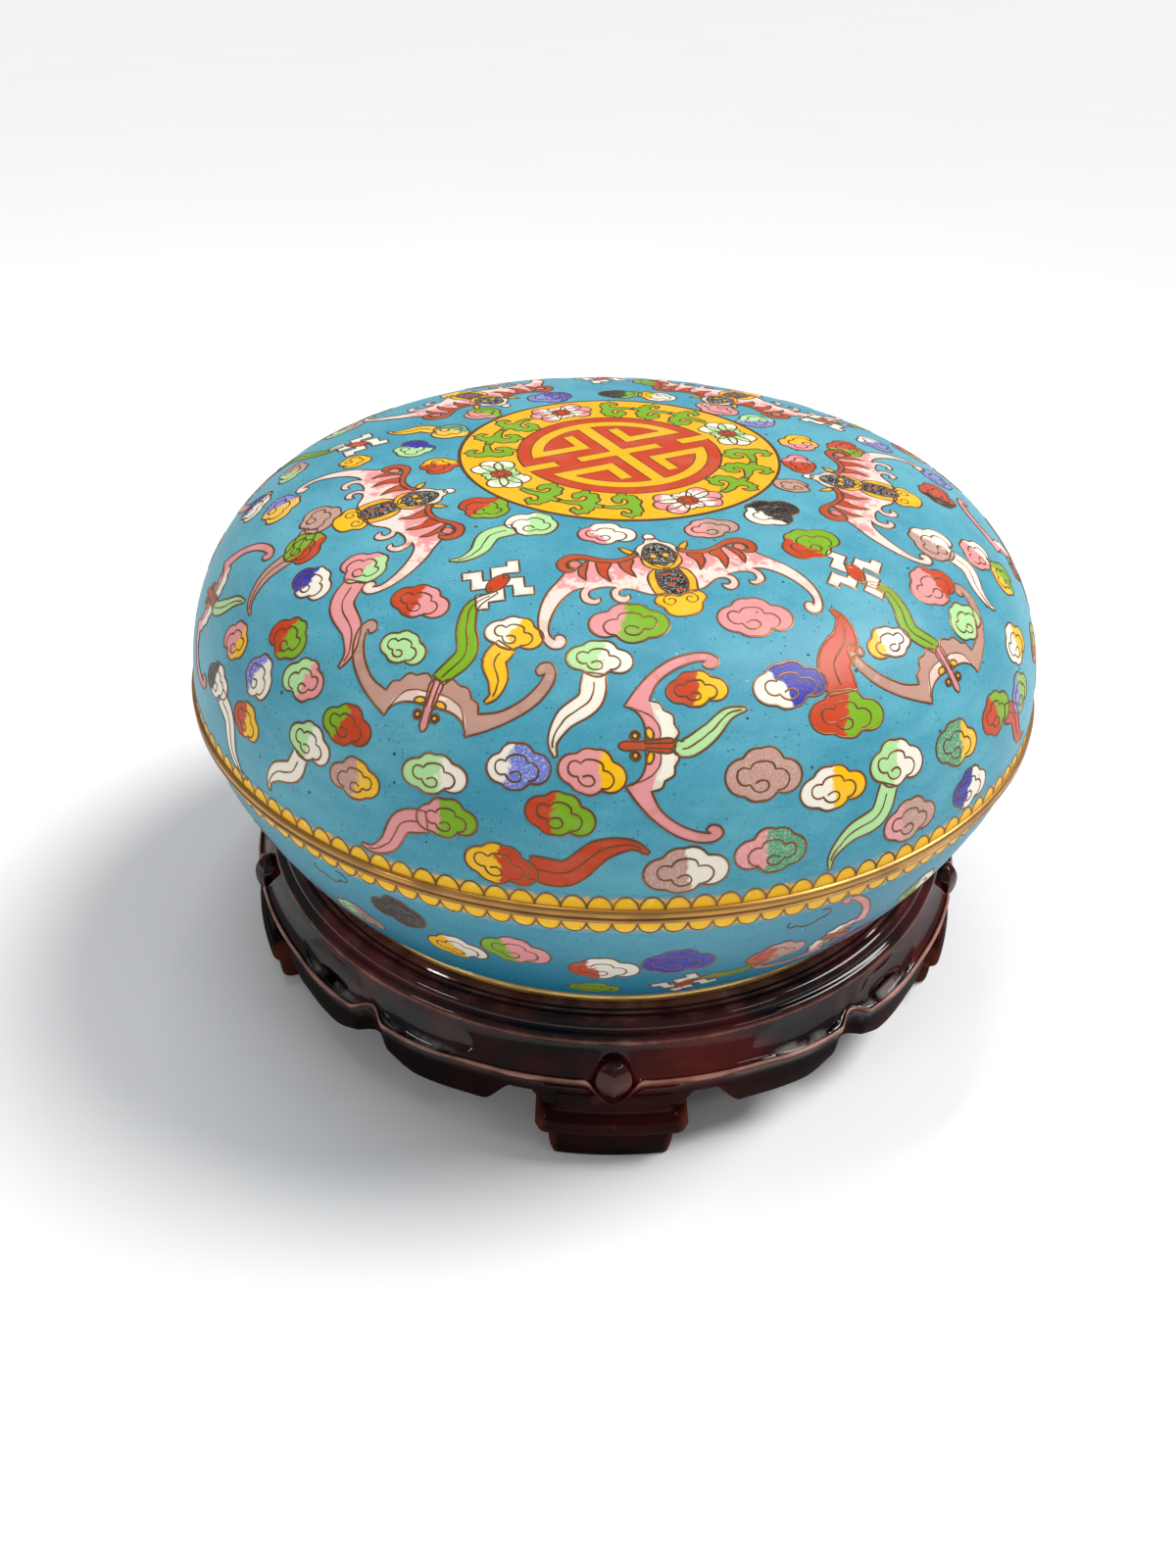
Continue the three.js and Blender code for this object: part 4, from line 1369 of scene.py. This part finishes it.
for place in ((-35, 12), (21, 12), (72, 13), (140, 13), (-130, 12), (-88, 13), (180, 14)):
    bowl_inlay.wire(drawn(LOOSE_CURL), place, width=FINE_WIRE)
placed = [*BOWL_CLOUDS, *((a, s, 32, 24) for a, s in BOWL_BATS + BOWL_CROSSES)]
scatter_clouds(bowl_inlay, placed, (), 1500, (58, 302), BOWL_ROWS, spare=3.0, widest=19, tall=0.8)
finish_inlay(*bowl_inlay.meshes("bowl"), "bowl")


# The stand: turned and carved from dark hardwood, stained maroon and lacquered to a high gloss that
# has worn thin and reddish on the edges. Five short feet, a leaf-shaped hollow each side of each
# fold of the edge, and a carved bud over each foot.
SEAT_HEIGHT = 56.0
EDGE_RADIUS, EDGE_Z = 141.0, 38.6
APRON_Z, APRON_LEAN, APRON_THICKNESS = 20.5, 0.02, 8.0
BOARD_RADIUS, BOARD_THICKNESS = 113.0, 9.0
FOOT_FRONT, FOOT_BACK = 141.0, -125.0
# Angles run in degrees from the nearest foot to the fold, halfway to the next one. A reach is how
# far round a feature runs to each side of its middle.
FEET, SECTOR, FOLD = 5, 72.0, 36.0
FOLD_REACH, FOLD_IN, FOLD_UP = 3.2, 3.2, 1.6
FOLD_APRON_RISE = 6.0
ARCH, ARCH_RISE, ARCH_TO_FOOT, ARCH_TO_FOLD = 12.2, 10.5, 4.2, 5.8
SCOOP, SCOOP_REACH, SCOOP_RADIUS, SCOOP_DEPTH, SCOOP_HALF_WIDTH = 27.2, 8.0, 136.3, 3.8, 3.9
CUP_REACH, CUP_DEPTH = 4.0, 10.0
STAND_STEPS = 900
SEAT_TURNING = [
    (0, 56), (112.4, 56), (112.8, 55.6), (113.5, 55.6), (113.9, 56), (123.9, 56), (124.3, 55.6),
    (124.9, 55.6), (125.3, 56), (126.3, 56), (126.7, 55.65), (127.2, 55.65), (127.6, 55.95), (128.6, 55.8),
    (129.7, 55.2), (130.5, 54.4), (130.9, 53.4), (130.9, 52.8), (131.3, 52.5), (132.2, 52.4), (133.1, 52.0),
    (133.7, 51.3), (134.0, 50.5), (133.9, 49.6), (133.5, 49.0), (133.0, 48.75), (133.1, 48.35),
]


def bump(x, middle, reach):
    """1 at the middle, falling smoothly to 0 at this reach from it."""
    t = min(1.0, abs(x - middle) / reach)
    return (1 - t * t) ** 2


def stand_section(angle):
    """The stand's section at an angle from the nearest foot, from the middle of the seat round the
    edge and back under the board."""
    fold, scoop = bump(angle, FOLD, FOLD_REACH), bump(angle, SCOOP, SCOOP_REACH)
    dip = CUP_DEPTH * bump(angle, 0, CUP_REACH)
    edge = EDGE_RADIUS - FOLD_IN * fold + 0.6 * scoop
    edge_z = EDGE_Z + FOLD_UP * fold - 0.8 * scoop
    arch = bump(angle, ARCH, ARCH_TO_FOOT if angle < ARCH else ARCH_TO_FOLD)
    lower = APRON_Z + ARCH_RISE * min(1, 1.25 * arch) + FOLD_APRON_RISE * bump(angle, FOLD, SCOOP_REACH)
    lower_edge = edge - 1.2 - APRON_LEAN * (edge_z - lower)
    under = SEAT_HEIGHT - BOARD_THICKNESS
    section = list(SEAT_TURNING)
    r0, z0 = SEAT_TURNING[-1]
    across = (angle - SCOOP) / SCOOP_REACH
    for t in np.linspace(0.05, 1, 20):
        r = r0 + (edge - 1.7 - r0) * t
        z = edge_z + 0.75 + (z0 - edge_z - 0.75) * (1 - t) ** 1.5 - dip * t**3
        hollow = max(0, 1 - across**2) ** 2 - ((r - SCOOP_RADIUS) / SCOOP_HALF_WIDTH) ** 2
        section.append((r, z - SCOOP_DEPTH * math.sqrt(max(0, hollow))))
    edge_z -= dip
    section += [(edge - 1.35, edge_z + 0.95), (edge - 1.0, edge_z + 1.15), (edge - 0.55, edge_z + 1.1)]
    section += [(edge - 0.15, edge_z + 0.7), (edge, edge_z + 0.1), (edge - 0.1, edge_z - 0.6)]
    for t in (0.12, 0.3, 0.55, 0.8, 0.94):
        hollow = 0.9 * math.sin(math.pi * min(1, t * 1.6)) if t < 0.62 else 0
        section.append((edge + (lower_edge - edge) * t - hollow, edge_z + (lower - edge_z) * t))
    section += [(lower_edge, lower + 0.5), (lower_edge - 0.6, lower), (lower_edge - APRON_THICKNESS, lower)]
    return section + [(EDGE_RADIUS - 14, under - 4), (BOARD_RADIUS, under), (0, under)]


def lofted(name, loops, closed=False):
    """A mesh over loops of equal length; closed joins the last to the first, else both are capped."""
    return tidy(mesh_from(name, np.vstack(loops), skinned(len(loops), len(loops[0]), closed)))


def around(r, angle, z):
    """The point at a radius, an angle from the front in degrees, and a height."""
    return (r * math.sin(math.radians(angle)), -r * math.cos(math.radians(angle)), z)


table_loops = []
for i in range(STAND_STEPS):
    angle = 360 * i / STAND_STEPS
    near = angle % SECTOR
    table_loops.append([around(r, angle, z) for r, z in stand_section(min(near, SECTOR - near))])
table_mesh = lofted("table", table_loops, closed=True)

FOOT_PROFILE = [
    # half width, how far proud of the foot's front, height
    (19.4, -1.0, 0.0), (20.0, -0.4, 0.5), (20.4, -0.1, 2.0), (20.8, 0.1, 6.0), (20.9, 0.0, 10.4),
    (20.7, -0.6, 11.4), (21.0, -0.9, 12.0), (22.2, -0.2, 12.4), (23.4, 0.9, 13.0), (24.5, 1.9, 14.2),
    (25.1, 2.5, 15.8), (25.3, 2.6, 17.4), (25.1, 2.4, 19.2), (24.5, 1.8, 20.7), (23.5, 0.8, 21.9),
    (22.2, -0.5, 22.8), (21.4, -0.9, 23.3), (21.0, -0.6, 23.8), (20.6, 0.2, 24.2), (20.1, 0.2, 24.9),
    (19.5, -0.3, 25.6), (18.9, -0.5, 27.0), (18.7, -0.5, 28.6), (19.3, -0.7, 30.2), (20.8, -0.9, 31.6),
    (22.6, -1.9, 32.6), (24.2, -3.0, 33.4),
]
foot_loops = []
for half, proud, z in FOOT_PROFILE:
    loop = []
    for share in np.linspace(-1, 1, 41):
        x, corner = share * half, max(0.0, abs(share) - 0.9) / 0.1
        radius = FOOT_FRONT + proud - 2.2 * (1 - math.sqrt(1 - min(1, corner) ** 2))
        loop.append((x, -math.sqrt(radius * radius - x * x), z))
    foot_loops.append(loop + [(half, FOOT_BACK, z), (-half, FOOT_BACK, z)])
foot_mesh = lofted("foot", foot_loops)

BUD_HALF_WIDTH, BUD_DEPTH, BUD_HALF_HEIGHT, BUD_FRONT = 6.7, 5.4, 9.0, 142.6
BUD_TOP_POWER, BUD_FOOT_POWER = 2.6, 1.9
BUD_SIDES = 6
bud_loops = []
for t in np.linspace(-0.985, 0.985, 25):
    swell = (1 - abs(t) ** (BUD_TOP_POWER if t > 0 else BUD_FOOT_POWER)) ** 0.5
    side = math.tau / BUD_SIDES
    loop = []
    for a in np.linspace(0, math.tau, 36, endpoint=False):
        facet = math.cos(side / 2) / math.cos((a + math.pi / 2) % side - side / 2)
        reach = swell * (0.15 + 0.85 * facet)
        forward = BUD_DEPTH * (1 + reach * math.sin(a)) - BUD_FRONT
        loop.append((BUD_HALF_WIDTH * reach * math.cos(a), forward, EDGE_Z - 1.2 + BUD_HALF_HEIGHT * t))
    bud_loops.append(loop)
bud_mesh = lofted("bud", bud_loops)


def carved_lacquer():
    """Stained and lacquered hardwood: near black, maroon where the stain is thin, and rubbed to reddish
    brown on the edges, under a thick glossy coat that lies in slow waves. Below the edge it is painted
    darker, as shade. A pale highlight is painted on the most rubbed top edges, and a pale streaked
    reflection is painted in the outer part of the hollows."""
    f = Finish("lacquered_rosewood")
    patches = f.between(f.noise(22, 4), 0.42, 0.72)
    grain = f.noise(90, 4, f.stretched(1.0, 1.0, 5.0), distortion=0.6)
    # worn marks the rubbed edges, and also where the painted highlight goes.
    worn = f.attribute("worn")
    # Painted shade: below the edge, where topside falls to 0, less maroon and less rubbed red show, so the
    # apron and feet are painted near black.
    topside = f.between(f.height(), 0.032, 0.040)
    maroon = patches * 0.8 + f.between(grain, 0.5, 0.8) * 0.3
    colour = f.mix(maroon * (0.22 + topside * 0.78), (0.004, 0.0012, 0.001), (0.12, 0.0095, 0.006))
    rubbed = f.between(worn + f.noise(130, 3) * 0.5 - 0.25, 0.5, 1.15) * (0.16 + topside * 0.56)
    colour = f.mix(rubbed, colour, (0.38, 0.085, 0.04))
    # Painted highlight: a pale pink line on the most rubbed top edges, where the lamps glint on the arris.
    painted_edge_highlight = f.between(worn + f.noise(90, 3) * 0.4 - 0.2, 0.62, 1.0) * topside
    colour = f.mix(painted_edge_highlight * 0.6, colour, (0.66, 0.36, 0.28))
    scuffs = f.between(f.noise(46, 5), 0.66, 0.72)
    colour = f.mix(scuffs * 0.22, colour, (0.12, 0.055, 0.04))
    # Painted reflection: pale streaks in the outer part of the hollows, where the lacquer would reflect
    # light.
    hollow_sheen = f.attribute("hollow_sheen") * f.between(f.noise(110, 4, f.stretched(1.0, 1.0, 0.4)), 0.4, 0.62)
    colour = f.mix(hollow_sheen * 0.5, colour, (0.42, 0.36, 0.34))
    waves = f.noise(55, 2) + f.noise(240, 2) * 0.12
    return f.shade(
        base_color=colour,
        roughness=0.2 + scuffs * 0.18 + rubbed * 0.1,
        normal=f.bumped(waves, 0.0011),
        specular_ior_level=0.0,
        coat_weight=0.10 + topside * 0.5,
        coat_roughness=0.05,
    )


lacquer = carved_lacquer()
feet = repeated(foot_mesh, FEET, lacquer, "feet")
buds = repeated(bud_mesh, FEET, lacquer, "buds")
stand = link(table_mesh, "stand")
for part in (feet, buds):
    tool = link(part, "joined_part")
    join = stand.modifiers.new("join", "BOOLEAN")
    join.operation, join.solver, join.object = "UNION", "MANIFOLD", tool
    whole = bpy.data.meshes.new_from_object(stand.evaluated_get(bpy.context.evaluated_depsgraph_get()))
    stand.modifiers.clear()
    stand.data = whole
    bpy.data.objects.remove(tool)
tidy(stand.data)


def edge_wear_and_highlight(mesh, points):
    """How strongly the surface turns outwards at each vertex, where hands and dusters rub it and where
    the painted highlight goes: 0 to 1, spread a little to the vertices beside."""
    count = len(points)
    normals, ends = np.empty(count * 3), np.empty(len(mesh.edges) * 2, int)
    mesh.vertices.foreach_get("normal", normals)
    mesh.edges.foreach_get("vertices", ends)
    normals = normals.reshape(-1, 3)
    a, b = ends.reshape(-1, 2).T
    run = points[b] - points[a]
    run /= np.maximum(np.linalg.norm(run, axis=1), 1e-9)[:, None]
    bend, share = np.zeros(count), np.zeros(count)
    for here, sign in ((a, -1), (b, 1)):
        np.add.at(bend, here, sign * (run * normals[here]).sum(1))
        np.add.at(share, here, 1)
    bend = np.clip(bend / np.maximum(share, 1) * 4.5, 0, 1)
    for _ in range(3):
        spread, share = bend.copy(), np.ones(count)
        for here, there in ((a, b), (b, a)):
            np.add.at(spread, here, bend[there])
            np.add.at(share, here, 1)
        bend = spread / share
    return np.clip(bend * 1.4, 0, 1)


def hollow_sheen_mask(points):
    """How much painted reflection each vertex gets: 0 to 1, in the outer part of the hollows of the top."""
    x, y, z = points.T / MM
    angle = np.degrees(np.arctan2(x, -y)) % SECTOR
    across = (np.minimum(angle, SECTOR - angle) - SCOOP) / SCOOP_REACH
    hollow = np.clip(1 - across**2, 0, 1) ** 2 - ((np.hypot(x, y) - SCOOP_RADIUS - 2.2) / 2.4) ** 2
    return np.where(z > EDGE_Z - 4, np.clip(hollow * 2.0, 0, 1), 0)


places = np.empty(len(stand.data.vertices) * 3)
stand.data.vertices.foreach_get("co", places)
places = places.reshape(-1, 3)
# worn marks the rubbed edges and the painted highlight; the second attribute marks the painted reflection.
for name, values in (("worn", edge_wear_and_highlight(stand.data, places)), ("hollow_sheen", hollow_sheen_mask(places))):
    attribute = stand.data.attributes.new(name, "FLOAT", "POINT")
    attribute.data.foreach_set("value", values.astype(np.float32))
stand.data.materials.clear()
stand.data.materials.append(lacquer)
stand.data.polygons.foreach_set("use_smooth", [True] * len(stand.data.polygons))
sharpened(stand, 42)
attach(stand, "root")
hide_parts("stand")
